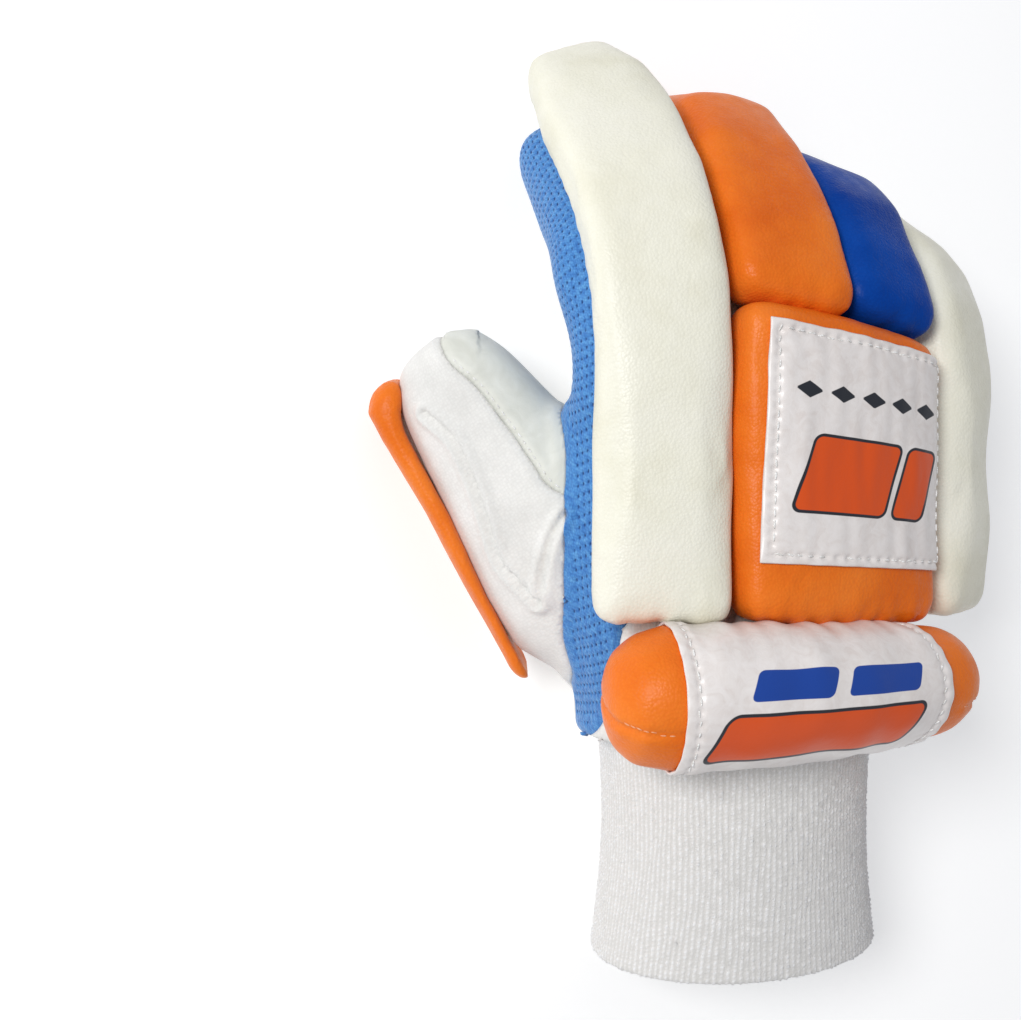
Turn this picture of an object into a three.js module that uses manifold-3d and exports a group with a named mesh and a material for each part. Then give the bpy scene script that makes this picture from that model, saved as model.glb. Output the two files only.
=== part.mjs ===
// A right-hand cricket batting glove, lying palm down on its strap and its curled fingertips.
// Millimetres. +Z is up, towards the back of the hand; +Y runs from the cuff to the fingertips; the thumb is at -X.
// The origin is on the surface that the glove lies on, under the middle of the glove.
import * as THREE from 'three';
import { mergeVertices } from 'three/addons/utils/BufferGeometryUtils.js';
import Module from 'manifold-3d';

const wasm = await Module();
wasm.setup();

// Driving sizes
const gap = 0.3; // between two pieces that are sewn or pressed together
const clothWall = 2; // palm, backing, mesh and thumb
const backLength = 120.2; // wrist seam to the split where the middle and ring pads start
const backRise = 4.6; // how much higher the back is at the split than at the wrist
const backHeight = 72; // the back's crest above the resting surface, at the wrist seam
const archRadius = 130; // the back is arched across the hand
const knuckleSpacing = 32; // from one finger's middle line to the next, along the arch
const webAlong = 104; // wrist seam to the webs between the fingers
const sleeveRoot = 9; // the finger sleeves start this far inside the hand
const handWidth = 136; // across the knuckles
const knuckleDepth = 31; // back to palm at the knuckles
const palmDepth = 43; // back to palm at the heel of the hand
const sleeveDepth = 28; // a finger sleeve, back to front
const sleeveSink = 0.8; // the sleeves' backs lie this far below the hand's
const sleeveNarrow = 0.76; // a sleeve's front is this much of its back's width, as the arch draws the fronts together
const frontSink = 0.58; // the front strip of a finger starts this share of its depth below its back
const frontShare = 0.66; // the front strip takes this share of a sleeve's width
const tipBand = 8; // mesh left round a fingertip beyond the front strip
const meshDrop = 25; // the mesh reaches this far below the back at the hand's two sides
const meshFromIndex = 0.305; // the side strips start this far from the hand's middle, in hand widths
const meshFromLittle = 0.282;
const backingFold = 4.5; // the backing folds down by this much at its sides
const padWidest = 37;
const padThickness = 18.3; // finger pads
const padEdge = 5; // rounding of a pad's square end
const padTipRound = 15; // rounding of a pad's fingertip end
const padOverhang = 15; // a finger pad reaches this far past its sleeve
const padStart = 37.1; // wrist seam to the near ends of the long pads and the block
const boneLength = 28;
const blockWidth = 62.9;
const blockThickness = 19;
const blockRadius = 160; // the block's own curve across the hand
const blockSkew = 9.9; // the block is this much longer at its index side than at its ring side
const patchWall = 1.2;
const patchInset = 15; // the patch's wrist edge, from the block's
const patchTop = 2.5; // its finger edge, from the block's
const patchLeft = 0.42; // its edges from the block's middle line, as shares of the block's width
const patchRight = 0.478;
const rollRadius = 19.6; // wrist roll, at its thumb end
const rollTaper = 0.81; // its radius at the other end, as a share
const rollAlong = 17.4; // wrist seam to the wrist roll's middle line
const rollSeat = 0.86; // its middle line lies this share of its radius above the back
const rollLength = 104.4;
const rollRound = 14; // rounding of its ends
const labelLength = 68; // the printed panel, along the roll
const labelShift = -1; // its middle from the wrist roll's, away from the thumb
const labelFrom = -40; // degrees round the wrist roll, from its wrist side over the top
const labelTo = 200;
const cuffLength = 72;
const cuffWidth = 89;
const cuffDepth = 63;
const cuffWall = 3.6; // towelling
const cuffPitch = 7.5; // degrees, mouth lower than the wrist
const cuffYaw = 2.5; // degrees, mouth turned away from the thumb
const cuffTuck = 4; // the cuff reaches this far into the hand
const cuffWaist = 0.06; // how much narrower the cuff is halfway, as a share
const cuffMouth = 0.07; // how much wider its mouth is than its wrist end, as a share
const wristEase = 3.6; // the hand goes over the cuff with this much room on each side
const wristFlare = 2; // and reaches this much further on the thumb's side
const wristLap = 3; // and this far along the cuff
const wristBlend = 34; // the hand has its own full section from here on
const strapLength = 50; // along the wrist
const strapWall = 2.4;
const strapInset = 3; // from the cuff's mouth
const strapFrom = 224; // degrees round the cuff, from the little finger's side over the back
const strapTo = 352;
const strapRound = 14; // degrees over which its free end narrows
const thumbDepth = 32; // nail side to pad side, at the tip
const thumbWidth = 31; // across, at the tip
const guardThickness = 10.5;
const guardWidth = 27;
const guardStart = 20; // along the thumb
const guardPast = 5; // its end, past the thumb's last station
const guardRound = 7;
const thumbPast = 10; // the thumb's tip, past its last station
const thumbRoot = 14; // the thumb's own panels start this far along it
const padSideSeam = 5; // the thumb's leather starts this far to the pad side of its middle line
const panelInset = 1.5; // the backing's edges, from the pads' edges

// One row for each finger. across: its middle line from the middle finger's, in knuckle spacings.
// pad and tip: its pad's width near the knuckles, as a share of the widest, and at its end, as a share of that.
// sleeve and shift: the sleeve's width and its offset, as shares of the pad's width.
// lean and splay: how its curl leans and turns, in degrees.
// first, second, third: its stretches past the split, in bone lengths.
// bend1 to bend3: their slopes below the back, and bend4 the slope of the pad's overhang, in degrees.
// short: how much sooner the split comes, as a share of the back's length.
// long: whether its pad runs on to the wrist, or ends at the block.
const fingers = [
  {
    name: 'index', across: -1.075, pad: 1, tip: 0.62, sleeve: 1.1, shift: -0.085, lean: -1.9, splay: -3.9,
    first: 1.2, second: 1, third: 1.1, bend1: 11.9, bend2: 40, bend3: 44, bend4: 72, short: 0, long: true,
  },
  {
    name: 'middle', across: 0.015, pad: 0.938, tip: 0.9, sleeve: 0.92, shift: 0, lean: -3.2, splay: -0.5,
    first: 1.39, second: 1.014, third: 0.95, bend1: 25.3, bend2: 43.4, bend3: 85, bend4: 100, short: -0.01,
    long: false,
  },
  {
    name: 'ring', across: 0.994, pad: 0.83, tip: 0.9, sleeve: 0.92, shift: 0, lean: 4.4, splay: 1.8,
    first: 1.164, second: 0.95, third: 0.9, bend1: 22.5, bend2: 54.5, bend3: 83, bend4: 98, short: 0.021, long: false,
  },
  {
    name: 'little', across: 2.05, pad: 0.82, tip: 0.9, sleeve: 0.95, shift: 0, lean: 10, splay: 4.4,
    first: 0.55, second: 0.836, third: 0.83, bend1: 22, bend2: 46, bend3: 73, bend4: 90, short: 0, long: true,
  },
];
// The thumb's middle line, one row a station: x, y and z in thumb depths from the wrist seam under the middle
// finger's line, on the resting surface. swell: its width, as a share of the tip's. web: how far its pad side
// reaches past the tip's, in thumb depths.
const thumbStations = [
  { x: -0.6, y: 0.02, z: 1.24, swell: 1.4, web: 0.8 },
  { x: -1.14, y: 1.12, z: 1.1, swell: 1.32, web: 0.8 },
  { x: -1.72, y: 2.1, z: 0.95, swell: 1.16, web: 0.66 },
  { x: -2.2, y: 2.94, z: 0.8, swell: 1.04, web: 0.34 },
  { x: -2.48, y: 3.46, z: 0.73, swell: 1, web: 0.1 },
];
// Corners of the leather patch on the palm. across: 0 at the thumb's side of the palm and 1 at the other; along: 0 at
// the wrist and 1 at the webs.
const palmPatchCorners = [
  { across: 0.12, along: 0.7 },
  { across: 0.2, along: 0.88 },
  { across: 0.4, along: 0.95 },
  { across: 0.62, along: 0.94 },
  { across: 0.84, along: 0.88 },
  { across: 0.97, along: 0.62 },
  { across: 0.86, along: 0.2 },
  { across: 0.42, along: 0.44 },
];
const palmPatchWidth = 0.82; // the width that across is measured over, as a share of the hand's
const cuffMiddle = 8; // the cuff's middle line, from the middle finger's
const handMiddle = 7.6; // the middle of the palm along the arch
const blockMiddle = 15.6; // the block's middle line along the arch
const rollMiddle = 2.7; // the wrist roll's middle along the arch
const radians = THREE.MathUtils.degToRad;
const lerp = THREE.MathUtils.lerp;
const clamp = THREE.MathUtils.clamp;

// Surfaces and solids

function solidOf(geometry) {
  geometry.deleteAttribute('normal');
  geometry.deleteAttribute('uv');
  const merged = mergeVertices(geometry, 1e-4);
  const triVerts = new Uint32Array(merged.index.array);
  const mesh = new wasm.Mesh({ numProp: 3, vertProperties: merged.attributes.position.array, triVerts });
  return new wasm.Manifold(mesh);
}

function geometryOf(solid) {
  const mesh = solid.getMesh();
  const geometry = new THREE.BufferGeometry();
  geometry.setAttribute('position', new THREE.BufferAttribute(new Float32Array(mesh.vertProperties), mesh.numProp));
  geometry.setIndex(new THREE.BufferAttribute(mesh.triVerts, 1));
  geometry.computeVertexNormals();
  return geometry;
}

// A closed skin of rings. pointAt(row, angle) gives its points; its first and last rows each meet in a point.
function closedSkin(rows, sides, pointAt) {
  const geometry = new THREE.SphereGeometry(1, sides, rows);
  const position = geometry.attributes.position;
  for (let k = 0; k < position.count; k++) {
    const row = Math.floor(k / (sides + 1));
    const side = (k - row * (sides + 1)) % sides;
    const p = pointAt(row, (side / sides) * 2 * Math.PI);
    position.setXYZ(k, p.x, p.y, p.z);
  }
  return solidOf(geometry);
}

// A point of a squarish oval between low and high. squareness 2 is an ellipse, and more is squarer.
function ovalPoint(angle, halfWidth, low, high, squareness) {
  const power = 2 / squareness;
  const across = Math.sign(Math.cos(angle)) * Math.abs(Math.cos(angle)) ** power * halfWidth;
  const up = Math.sign(Math.sin(angle)) * Math.abs(Math.sin(angle)) ** power * ((high - low) / 2);
  return [across, (low + high) / 2 + up];
}

// Rows of a sweep, as {along, inset}: its ends are rounded by startRound and endRound, and grow moves them outwards.
function roundedRows(from, to, startRound, endRound, steps, { roundSteps = 3, grow = 0 } = {}) {
  const rows = [{ along: from, inset: Infinity }];
  for (let i = 0; i < roundSteps; i++) {
    const turn = ((i / roundSteps) * Math.PI) / 2;
    rows.push({ along: from + startRound * (1 - Math.cos(turn)), inset: startRound * (1 - Math.sin(turn)) });
  }
  for (let i = 0; i <= steps; i++) {
    rows.push({ along: lerp(from + startRound, to - endRound, i / steps), inset: 0 });
  }
  for (let i = roundSteps - 1; i >= 0; i--) {
    const turn = ((i / roundSteps) * Math.PI) / 2;
    rows.push({ along: to - endRound * (1 - Math.cos(turn)), inset: endRound * (1 - Math.sin(turn)) });
  }
  rows.push({ along: to, inset: Infinity });
  return rows.map(({ along, inset }, i) => {
    const outwards = (i > rows.length - 2 - roundSteps ? grow : 0) - (i <= roundSteps ? grow : 0);
    return { along: along + outwards, inset };
  });
}

// Sweeps an oval: shape(along) gives {halfWidth, low, high, narrow}, and place(along, across, up) the point.
function sweep({ place, rows, shape, sides = 20, squareness = 4 }) {
  return closedSkin(rows.length - 1, sides, (row, angle) => {
    const { along, inset } = rows[row];
    const { halfWidth, low, high, narrow = 1, square = squareness } = shape(along);
    const less = Math.min(inset, halfWidth);
    const lessHeight = Math.min(inset, (high - low) / 2);
    const [across, up] = ovalPoint(angle, halfWidth - less, low + lessHeight, high - lessHeight, square);
    return place(along, across * lerp(narrow, 1, clamp((up - low) / (high - low), 0, 1)), up);
  });
}

// A bent box: along, across and up are [from, to], steps the segments along and across, and grow moves all its faces.
function slab({ place, along, across, up, steps = [8, 6], grow = 0 }) {
  const geometry = new THREE.BoxGeometry(1, 1, 1, steps[1], steps[0], 1);
  const position = geometry.attributes.position;
  for (let k = 0; k < position.count; k++) {
    const shares = [position.getY(k) + 0.5, position.getX(k) + 0.5, position.getZ(k) + 0.5];
    const outwards = (share) => (share === 1 ? grow : 0) - (share === 0 ? grow : 0);
    const at = (range, share) => lerp(range[0], range[1], share) + outwards(share);
    const p = place(at(along, shares[0]), at(across, shares[1]), at(up, shares[2]));
    position.setXYZ(k, p.x, p.y, p.z);
  }
  const solid = solidOf(geometry);
  if (solid.volume() > 0) return solid;
  const index = geometry.index.array;
  for (let k = 0; k < index.length; k += 3) {
    const second = index[k + 1];
    index[k + 1] = index[k + 2];
    index[k + 2] = second;
  }
  return solidOf(geometry);
}

const union = (solids) => solids.reduce((all, solid) => all.add(solid));
const largest = (solid) => solid.decompose().sort((a, b) => b.volume() - a.volume())[0];

// The back of the hand: across is measured along the arch from the middle finger's line, up from the back's surface.
function backPlace(along, across, up) {
  const turn = across / archRadius;
  const crest = backHeight + (backRise * along) / backLength;
  const radius = archRadius + up;
  return new THREE.Vector3(radius * Math.sin(turn), along, crest - archRadius + radius * Math.cos(turn));
}

// A finger's path along its back, with a frame at each place that turns as little as it can.
function fingerPath(finger) {
  const lean = radians(finger.lean);
  const splay = radians(finger.splay);
  const down = new THREE.Vector3(-Math.sin(lean), 0, -Math.cos(lean));
  const out = new THREE.Vector3(Math.sin(splay), Math.cos(splay), 0);
  const stretches = [
    [finger.first * boneLength, finger.bend1],
    [finger.second * boneLength, finger.bend2],
    [finger.third * boneLength, finger.bend3],
    [padOverhang, finger.bend4],
  ];
  const middle = finger.across * knuckleSpacing;
  const split = backLength * (1 - finger.short);
  const points = [0, 0.25, 0.5, 0.75, 1].map((share) => backPlace(share * split, middle, 0));
  for (const [length, bend] of stretches) {
    const step = out.clone().multiplyScalar(Math.cos(radians(bend)));
    step.addScaledVector(down, Math.sin(radians(bend)));
    points.push(points.at(-1).clone().addScaledVector(step, length));
  }
  const curve = new THREE.CatmullRomCurve3(points);
  curve.arcLengthDivisions = 400;
  const length = curve.getLength();
  const count = 80;
  const frames = [];
  let normal = backPlace(0, middle, 1).sub(backPlace(0, middle, 0));
  for (let i = 0; i <= count; i++) {
    const tangent = curve.getTangentAt(i / count);
    normal = normal.clone().addScaledVector(tangent, -normal.dot(tangent)).normalize();
    const side = new THREE.Vector3().crossVectors(tangent, normal);
    frames.push({ point: curve.getPointAt(i / count), side, normal });
  }
  const place = (along, across, up) => {
    const share = clamp((along / length) * count, 0, count - 1e-6);
    const i = Math.floor(share);
    const mixed = (key) => frames[i][key].clone().lerp(frames[i + 1][key], share - i);
    return mixed('point').addScaledVector(mixed('side'), across).addScaledVector(mixed('normal'), up);
  };
  return { place, length, split, sleeveEnd: length - padOverhang };
}
for (const finger of fingers) {
  finger.padWidth = finger.pad * padWidest;
  finger.sleeveWidth = finger.sleeve * finger.padWidth;
  finger.path = fingerPath(finger);
}

// The hollow hand: each body is made as its outside and, with a negative grow, as the space inside it

const wristPlace = (along, across, up) => {
  const pitch = radians(cuffPitch);
  return new THREE.Vector3(
    cuffMiddle + across - along * Math.tan(radians(cuffYaw)),
    along * Math.cos(pitch) - up * Math.sin(pitch),
    backHeight + along * Math.sin(pitch) + up * Math.cos(pitch),
  );
};

function handBody(grow) {
  const inner = grow < 0;
  const start = inner ? -2 * wristLap : -wristLap;
  const end = webAlong + grow;
  const middle = (wristBlend + webAlong) / 2;
  const stations = [start, start, wristBlend / 5, wristBlend * 0.6, wristBlend, middle, end - 4, end, end];
  const last = stations.length - 1;
  const fullness = stations.map(() => 1);
  fullness[0] = 0;
  fullness[last - 1] = 0.84;
  fullness[last] = 0;
  return closedSkin(last, inner ? 14 : 22, (row, angle) => {
    const along = stations[row];
    const size = (half) => (half + grow) * fullness[row];
    const oval = (halfWidth, halfDepth, middleUp, squareness) =>
      ovalPoint(angle, size(halfWidth), middleUp - size(halfDepth), middleUp + size(halfDepth), squareness);
    const toKnuckles = clamp((along - wristBlend) / (webAlong - wristBlend), 0, 1);
    const halfDepth = lerp(palmDepth, knuckleDepth, toKnuckles) / 2;
    const halfWidth = lerp(handWidth * 0.95, handWidth, toKnuckles) / 2;
    const [handAcross, handUp] = oval(halfWidth, halfDepth, -halfDepth, 3);
    const hand = backPlace(along, handMiddle + handAcross, handUp);
    const wristHalf = cuffWidth / 2 + wristEase + wristFlare;
    const [across, up] = oval(wristHalf, cuffDepth / 2 + wristEase, -cuffDepth / 2, 2);
    const wrist = wristPlace(along, across - wristFlare, up);
    return wrist.lerp(hand, THREE.MathUtils.smoothstep(along, wristLap + 1, wristBlend));
  });
}

function sleeveBody(finger, grow, from = webAlong - sleeveRoot) {
  const inner = grow < 0;
  const to = finger.path.sleeveEnd + Math.min(grow, 0);
  const shift = finger.shift * finger.padWidth;
  return sweep({
    place: (along, across, up) => finger.path.place(along, shift + across, up),
    rows: roundedRows(from, to, 1, 11, inner ? 3 : 6, { roundSteps: 2, grow: Math.max(grow, 0) }),
    shape: () => ({
      halfWidth: finger.sleeveWidth / 2 + grow,
      low: -sleeveDepth - grow,
      high: grow - sleeveSink,
      narrow: sleeveNarrow,
    }),
    sides: inner ? 8 : 12,
    squareness: 2.8,
  });
}

// The thumb: across points up from its side, and up points to its nail.
const nailFaces = new THREE.Vector3(-0.86, -0.1, -0.5).normalize();
const thumb = (() => {
  const points = thumbStations.map(({ x, y, z }) => new THREE.Vector3(x, y, z).multiplyScalar(thumbDepth));
  const curve = new THREE.CatmullRomCurve3(points);
  const length = curve.getLength();
  const station = (along, key) => {
    const share = clamp(along / length, 0, 1) * (thumbStations.length - 1);
    const i = Math.min(Math.floor(share), thumbStations.length - 2);
    return lerp(thumbStations[i][key], thumbStations[i + 1][key], share - i);
  };
  const place = (along, across, up) => {
    const t = clamp(along / length, 0, 1);
    const tangent = curve.getTangentAt(t);
    const normal = nailFaces.clone().addScaledVector(tangent, -nailFaces.dot(tangent)).normalize();
    const side = new THREE.Vector3().crossVectors(tangent, normal);
    const p = curve.getPointAt(t).addScaledVector(tangent, along - t * length);
    return p.addScaledVector(side, across).addScaledVector(normal, up);
  };
  return { place, length, station };
})();
const thumbShape = (grow) => (along) => ({
  halfWidth: (thumbWidth / 2) * thumb.station(along, 'swell') + grow,
  low: -thumbDepth * (0.5 + thumb.station(along, 'web')) - grow,
  high: thumbDepth / 2 + grow,
});
function thumbBody(grow, from = 0) {
  const inner = grow < 0;
  const to = thumb.length + thumbPast + Math.min(grow, 0);
  return sweep({
    place: thumb.place,
    rows: roundedRows(from, to, 2, 12, inner ? 4 : 6, { roundSteps: 2, grow: Math.max(grow, 0) }),
    shape: thumbShape(grow),
    sides: inner ? 10 : 14,
    squareness: 2.4,
  });
}

const outside = (grow) =>
  union([handBody(grow), thumbBody(grow), ...fingers.map((finger) => sleeveBody(finger, grow))]);
const shell = outside(0).subtract(outside(-clothWall));

// Cuff and strap
const cuffHalf = (along) => {
  const share = clamp(-along / cuffLength, 0, 1);
  return (cuffWidth / 2) * (1 - cuffWaist * Math.sin(Math.PI * share) + cuffMouth * share);
};
const cuffSurface = (along, angle, up) => {
  const [across, height] = ovalPoint(angle, cuffHalf(along) + up, -cuffDepth - up, up, 2);
  return wristPlace(along, across, height);
};
function cuffBody(grow, from, to) {
  const rows = 5;
  return closedSkin(rows, 28, (row, angle) => {
    const along = lerp(from, to, clamp((row - 1) / (rows - 2), 0, 1));
    if (row > 0 && row < rows) return cuffSurface(along, angle, grow);
    return wristPlace(along, 0, -cuffDepth / 2);
  });
}
const cuff = cuffBody(0, -cuffLength, cuffTuck).subtract(cuffBody(-cuffWall, -cuffLength - 5, cuffTuck + 5));
const strap = slab({
  place: (along, angle, up) => {
    const end = clamp((radians(strapFrom + strapRound) - angle) / radians(strapRound), 0, 1);
    const round = 1 - 0.3 * (1 - Math.sqrt(1 - end * end));
    return cuffSurface(strapInset + strapLength / 2 - cuffLength + along * round, angle, up);
  },
  along: [-strapLength / 2, strapLength / 2],
  across: [radians(strapFrom), radians(strapTo)],
  up: [gap, gap + strapWall],
  steps: [2, 16],
});

// Pads
const padLow = gap;
const padHigh = padLow + padThickness;
const padShape = (finger, grow) => (along) => {
  const past = clamp((along - finger.path.sleeveEnd + 10) / (padOverhang + 10), 0, 1);
  const taper = clamp((along - finger.path.length + 50) / 50, 0, 1) ** 1.5;
  return {
    halfWidth: (finger.padWidth / 2) * lerp(1, finger.tip, taper) + grow,
    low: lerp(padLow, -padThickness / 2, past * past) - grow,
    high: lerp(padHigh, padHigh - 5, past) + grow,
    square: lerp(4.5, 3, past),
  };
};
function padBody(finger, grow = 0) {
  const from = finger.long ? padStart : finger.path.split + gap;
  const skew = (along) => (finger.long ? 0 : (blockSkew / blockWidth) * clamp(1 - (along - from) / 30, 0, 1));
  return sweep({
    place: (along, across, up) => finger.path.place(along - skew(along) * across, across, up),
    rows: roundedRows(from, finger.path.length, padEdge, padTipRound, finger.long ? 12 : 6, { roundSteps: 2, grow }),
    shape: padShape(finger, grow),
    sides: 16,
  });
}
function blockPlace(along, across, up) {
  const share = clamp((along - padStart) / (backLength - padStart), 0, 1);
  const skewed = along - (lerp(0.3, 1, share) * blockSkew * across) / blockWidth;
  const base = backPlace(skewed, blockMiddle, 0);
  const tilt = blockMiddle / archRadius;
  const turn = tilt + across / blockRadius;
  const outwards = new THREE.Vector3(Math.sin(turn), 0, Math.cos(turn)).multiplyScalar(blockRadius + up);
  return base.add(outwards).addScaledVector(new THREE.Vector3(Math.sin(tilt), 0, Math.cos(tilt)), -blockRadius);
}
const blockBody = (grow = 0) =>
  sweep({
    place: blockPlace,
    rows: roundedRows(padStart, backLength, padEdge, padEdge, 3, { roundSteps: 2, grow }),
    shape: () => ({ halfWidth: blockWidth / 2 + grow, low: padLow - grow, high: padLow + blockThickness + grow }),
    squareness: 6,
  });
const rollPlace = (along, across, up) => backPlace(rollAlong - across, along, rollSeat * rollRadius + up);
const rollBody = (grow = 0) =>
  sweep({
    place: rollPlace,
    rows: roundedRows(rollMiddle - rollLength / 2, rollMiddle + rollLength / 2, rollRound, rollRound, 5, { grow }),
    shape: (along) => {
      const share = clamp((along - rollMiddle) / rollLength + 0.5, 0, 1);
      const radius = rollRadius * lerp(1, rollTaper, share) + grow;
      return { halfWidth: radius, low: -radius, high: radius };
    },
    sides: 18,
    squareness: 2,
  });
const guardBody = sweep({
  place: thumb.place,
  rows: roundedRows(guardStart, thumb.length + guardPast, guardRound, guardRound, 6, { roundSteps: 2 }),
  shape: (along) => {
    const surface = thumbShape(0)(along).high + gap;
    return { halfWidth: guardWidth / 2, low: surface - 4, high: surface + guardThickness };
  },
  sides: 16,
  squareness: 3,
});

// Pieces
const pieces = [];
const floor = slab({
  place: (along, across, up) => new THREE.Vector3(across, along, up),
  along: [-500, 500],
  across: [-500, 500],
  up: [-100, 0],
  steps: [1, 1],
});
function piece(name, colour, solid, roughness = 0.8) {
  const material = new THREE.MeshStandardMaterial({ color: colour, roughness, metalness: 0 });
  const mesh = new THREE.Mesh(geometryOf(largest(solid.subtract(floor))), material);
  mesh.name = name;
  pieces.push(mesh);
}

const cream = '#e7e7de';
const orange = '#dc6526';
const blue = '#12489c';
const meshBlue = '#4f8fcb';
const panelLeather = '#e3e2de';
const white = '#ecebe8';
const padColours = { index: cream, middle: orange, ring: blue, little: cream };
const backing = union([handBody(gap), thumbBody(gap), ...fingers.map((finger) => sleeveBody(finger, gap))]);
const madePads = [blockBody(gap)];
piece('knuckle_block', orange, blockBody().subtract(backing), 0.5);
for (const name of ['middle', 'index', 'ring', 'little']) {
  const finger = fingers.find((row) => row.name === name);
  const body = padBody(finger).subtract(union([backing, ...madePads]));
  piece('pad_' + name, padColours[name], body, 0.5);
  madePads.push(padBody(finger, gap));
}
const patchCut = slab({
  place: blockPlace,
  along: [padStart + patchInset, backLength - patchTop],
  across: [-blockWidth * patchLeft, blockWidth * patchRight],
  up: [padHigh * 0.6, padHigh + 6],
  steps: [1, 1],
});
const patchSkin = blockBody(gap + patchWall).subtract(blockBody(gap));
piece('block_patch', '#ebe6e3', patchSkin.intersect(patchCut).subtract(union(madePads.slice(1))), 0.6);
const under = union([backing, cuffBody(gap, -cuffLength, 0), ...madePads]);
piece('wrist_roll', orange, rollBody().subtract(under), 0.5);
const label = slab({
  place: (along, angle, up) => {
    const radius = rollRadius * lerp(1, rollTaper, (along - rollMiddle) / rollLength + 0.5) + up;
    return rollPlace(along, radius * Math.cos(angle), radius * Math.sin(angle));
  },
  along: [labelShift - labelLength / 2, labelShift + labelLength / 2],
  across: [radians(labelFrom), radians(labelTo)],
  up: [2 * gap, 2 * gap + patchWall],
  steps: [4, 12],
});
piece('wrist_label', '#e2d9d5', label.subtract(under), 0.6);
piece('cuff', '#e4e3e0', cuff, 1);
piece('strap', '#d6d6d4', strap, 0.5);
piece('thumb_guard', orange, guardBody.subtract(thumbBody(gap)).subtract(backing), 0.5);

// The shell's panels
const [indexFinger, middleFinger, ringFinger, littleFinger] = fingers;
const backLeft = indexFinger.across * knuckleSpacing - indexFinger.padWidth / 2 + panelInset;
const backRight = littleFinger.across * knuckleSpacing + littleFinger.padWidth / 2 - 2 * panelInset;
const fingerRoot = webAlong - sleeveRoot + 1;
const palmSide = -70; // well below the palm
function backCut(grow) {
  const hand = slab({
    place: backPlace,
    along: [-10, webAlong + 2],
    across: [backLeft, backRight],
    up: [-backingFold, 20],
    steps: [1, 4],
    grow,
  });
  const tops = fingers.map((finger) =>
    slab({
      place: finger.path.place,
      along: [fingerRoot, finger.path.sleeveEnd - 5],
      across: [panelInset - finger.padWidth / 2, finger.padWidth / 2 - panelInset],
      up: [-backingFold, 4],
      steps: [4, 1],
      grow,
    }),
  );
  return union([hand, ...tops]);
}
const frontCut = (finger, grow) =>
  slab({
    place: finger.path.place,
    along: [fingerRoot, finger.path.sleeveEnd - tipBand],
    across: [-(finger.sleeveWidth * frontShare) / 2, (finger.sleeveWidth * frontShare) / 2],
    up: [-sleeveDepth - 1, -sleeveDepth * frontSink],
    steps: [4, 1],
    grow,
  });
const thumbRegion = (grow) => thumbBody(0.1 + grow, thumbRoot).subtract(backCut(gap - grow));
const padSide = (grow) =>
  slab({
    place: thumb.place,
    along: [20, thumb.length + 2 * thumbPast],
    across: [-thumbWidth * 1.3, thumbWidth * 1.3],
    up: [palmSide, -padSideSeam],
    steps: [4, 1],
    grow,
  });
const sleeveRegion = (finger, grow) => sleeveBody(finger, 0.1 + grow, webAlong - sleeveRoot + 3);

piece('thumb_pad', panelLeather, shell.intersect(thumbRegion(0)).intersect(padSide(0)));
piece('thumb_cover', white, shell.intersect(thumbRegion(0)).subtract(padSide(gap)));
const hand = shell.subtract(thumbRegion(gap));
piece('backing', white, hand.intersect(backCut(0)));
const below = hand.subtract(backCut(gap));
piece('index_front', panelLeather, below.intersect(frontCut(indexFinger, 0)));
const lessIndexFront = below.subtract(frontCut(indexFinger, gap));
const farOut = 120; // along the arch, beyond the hand on either side
const sideStrip = (from, to, drop, grow = 0) =>
  slab({
    place: backPlace,
    along: [-20, webAlong + 3],
    across: [from, to],
    up: [-drop, 30],
    steps: [1, 2],
    grow,
  });
const sideCut = (grow) =>
  union([
    sideStrip(-farOut, handMiddle - handWidth * meshFromIndex, meshDrop, grow),
    sideStrip(handMiddle + handWidth * meshFromLittle, farOut, meshDrop, grow),
  ]);
const cottonFingers = [middleFinger, ringFinger, littleFinger];
const fronts = (grow) => union(cottonFingers.map((finger) => frontCut(finger, grow)));
const sleeves = (grow) => union(fingers.map((finger) => sleeveRegion(finger, grow)));
piece('palm', white, lessIndexFront.subtract(union([sleeves(gap), sideCut(gap), fronts(gap)])));
for (const finger of cottonFingers) piece('front_' + finger.name, white, lessIndexFront.intersect(frontCut(finger, 0)));
const palmOutline = new THREE.Shape(
  palmPatchCorners.map(({ across, along }) => {
    const x = handMiddle + (across - 0.5) * handWidth * palmPatchWidth;
    return new THREE.Vector2(x, along * webAlong);
  }),
);
const belowMiddle = backHeight * 0.62; // above the palm's outside and below the back's
const palmCut = solidOf(new THREE.ExtrudeGeometry(palmOutline, { depth: belowMiddle, bevelEnabled: false }));
const palmPatch = handBody(gap + patchWall).subtract(handBody(gap)).intersect(palmCut);
const limbs = union([thumbBody(gap), ...fingers.map((finger) => sleeveBody(finger, gap))]);
piece('palm_patch', '#deded9', palmPatch.subtract(limbs), 0.6);
const meshes = lessIndexFront.intersect(sleeves(0).add(sideCut(0))).subtract(fronts(gap));
const neighbours = [];
for (const name of ['index', 'middle', 'ring', 'little']) {
  const finger = fingers.find((row) => row.name === name);
  let own = sleeveRegion(finger, 0);
  if (name === 'index') own = own.add(sideStrip(-farOut, handMiddle - handWidth * 0.2, 2 * meshDrop));
  if (name === 'little') own = own.add(sideStrip(handMiddle + handWidth * 0.24, farOut, 2 * meshDrop));
  let body = meshes.intersect(own);
  if (neighbours.length) body = body.subtract(union(neighbours));
  piece('mesh_' + name, meshBlue, body);
  neighbours.push(sleeveRegion(finger, gap));
}

const glove = new THREE.Group();
glove.add(...pieces);
const box = new THREE.Box3().setFromObject(glove);
glove.position.set(-(box.min.x + box.max.x) / 2, -(box.min.y + box.max.y) / 2, -box.min.z);
export default glove;
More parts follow.
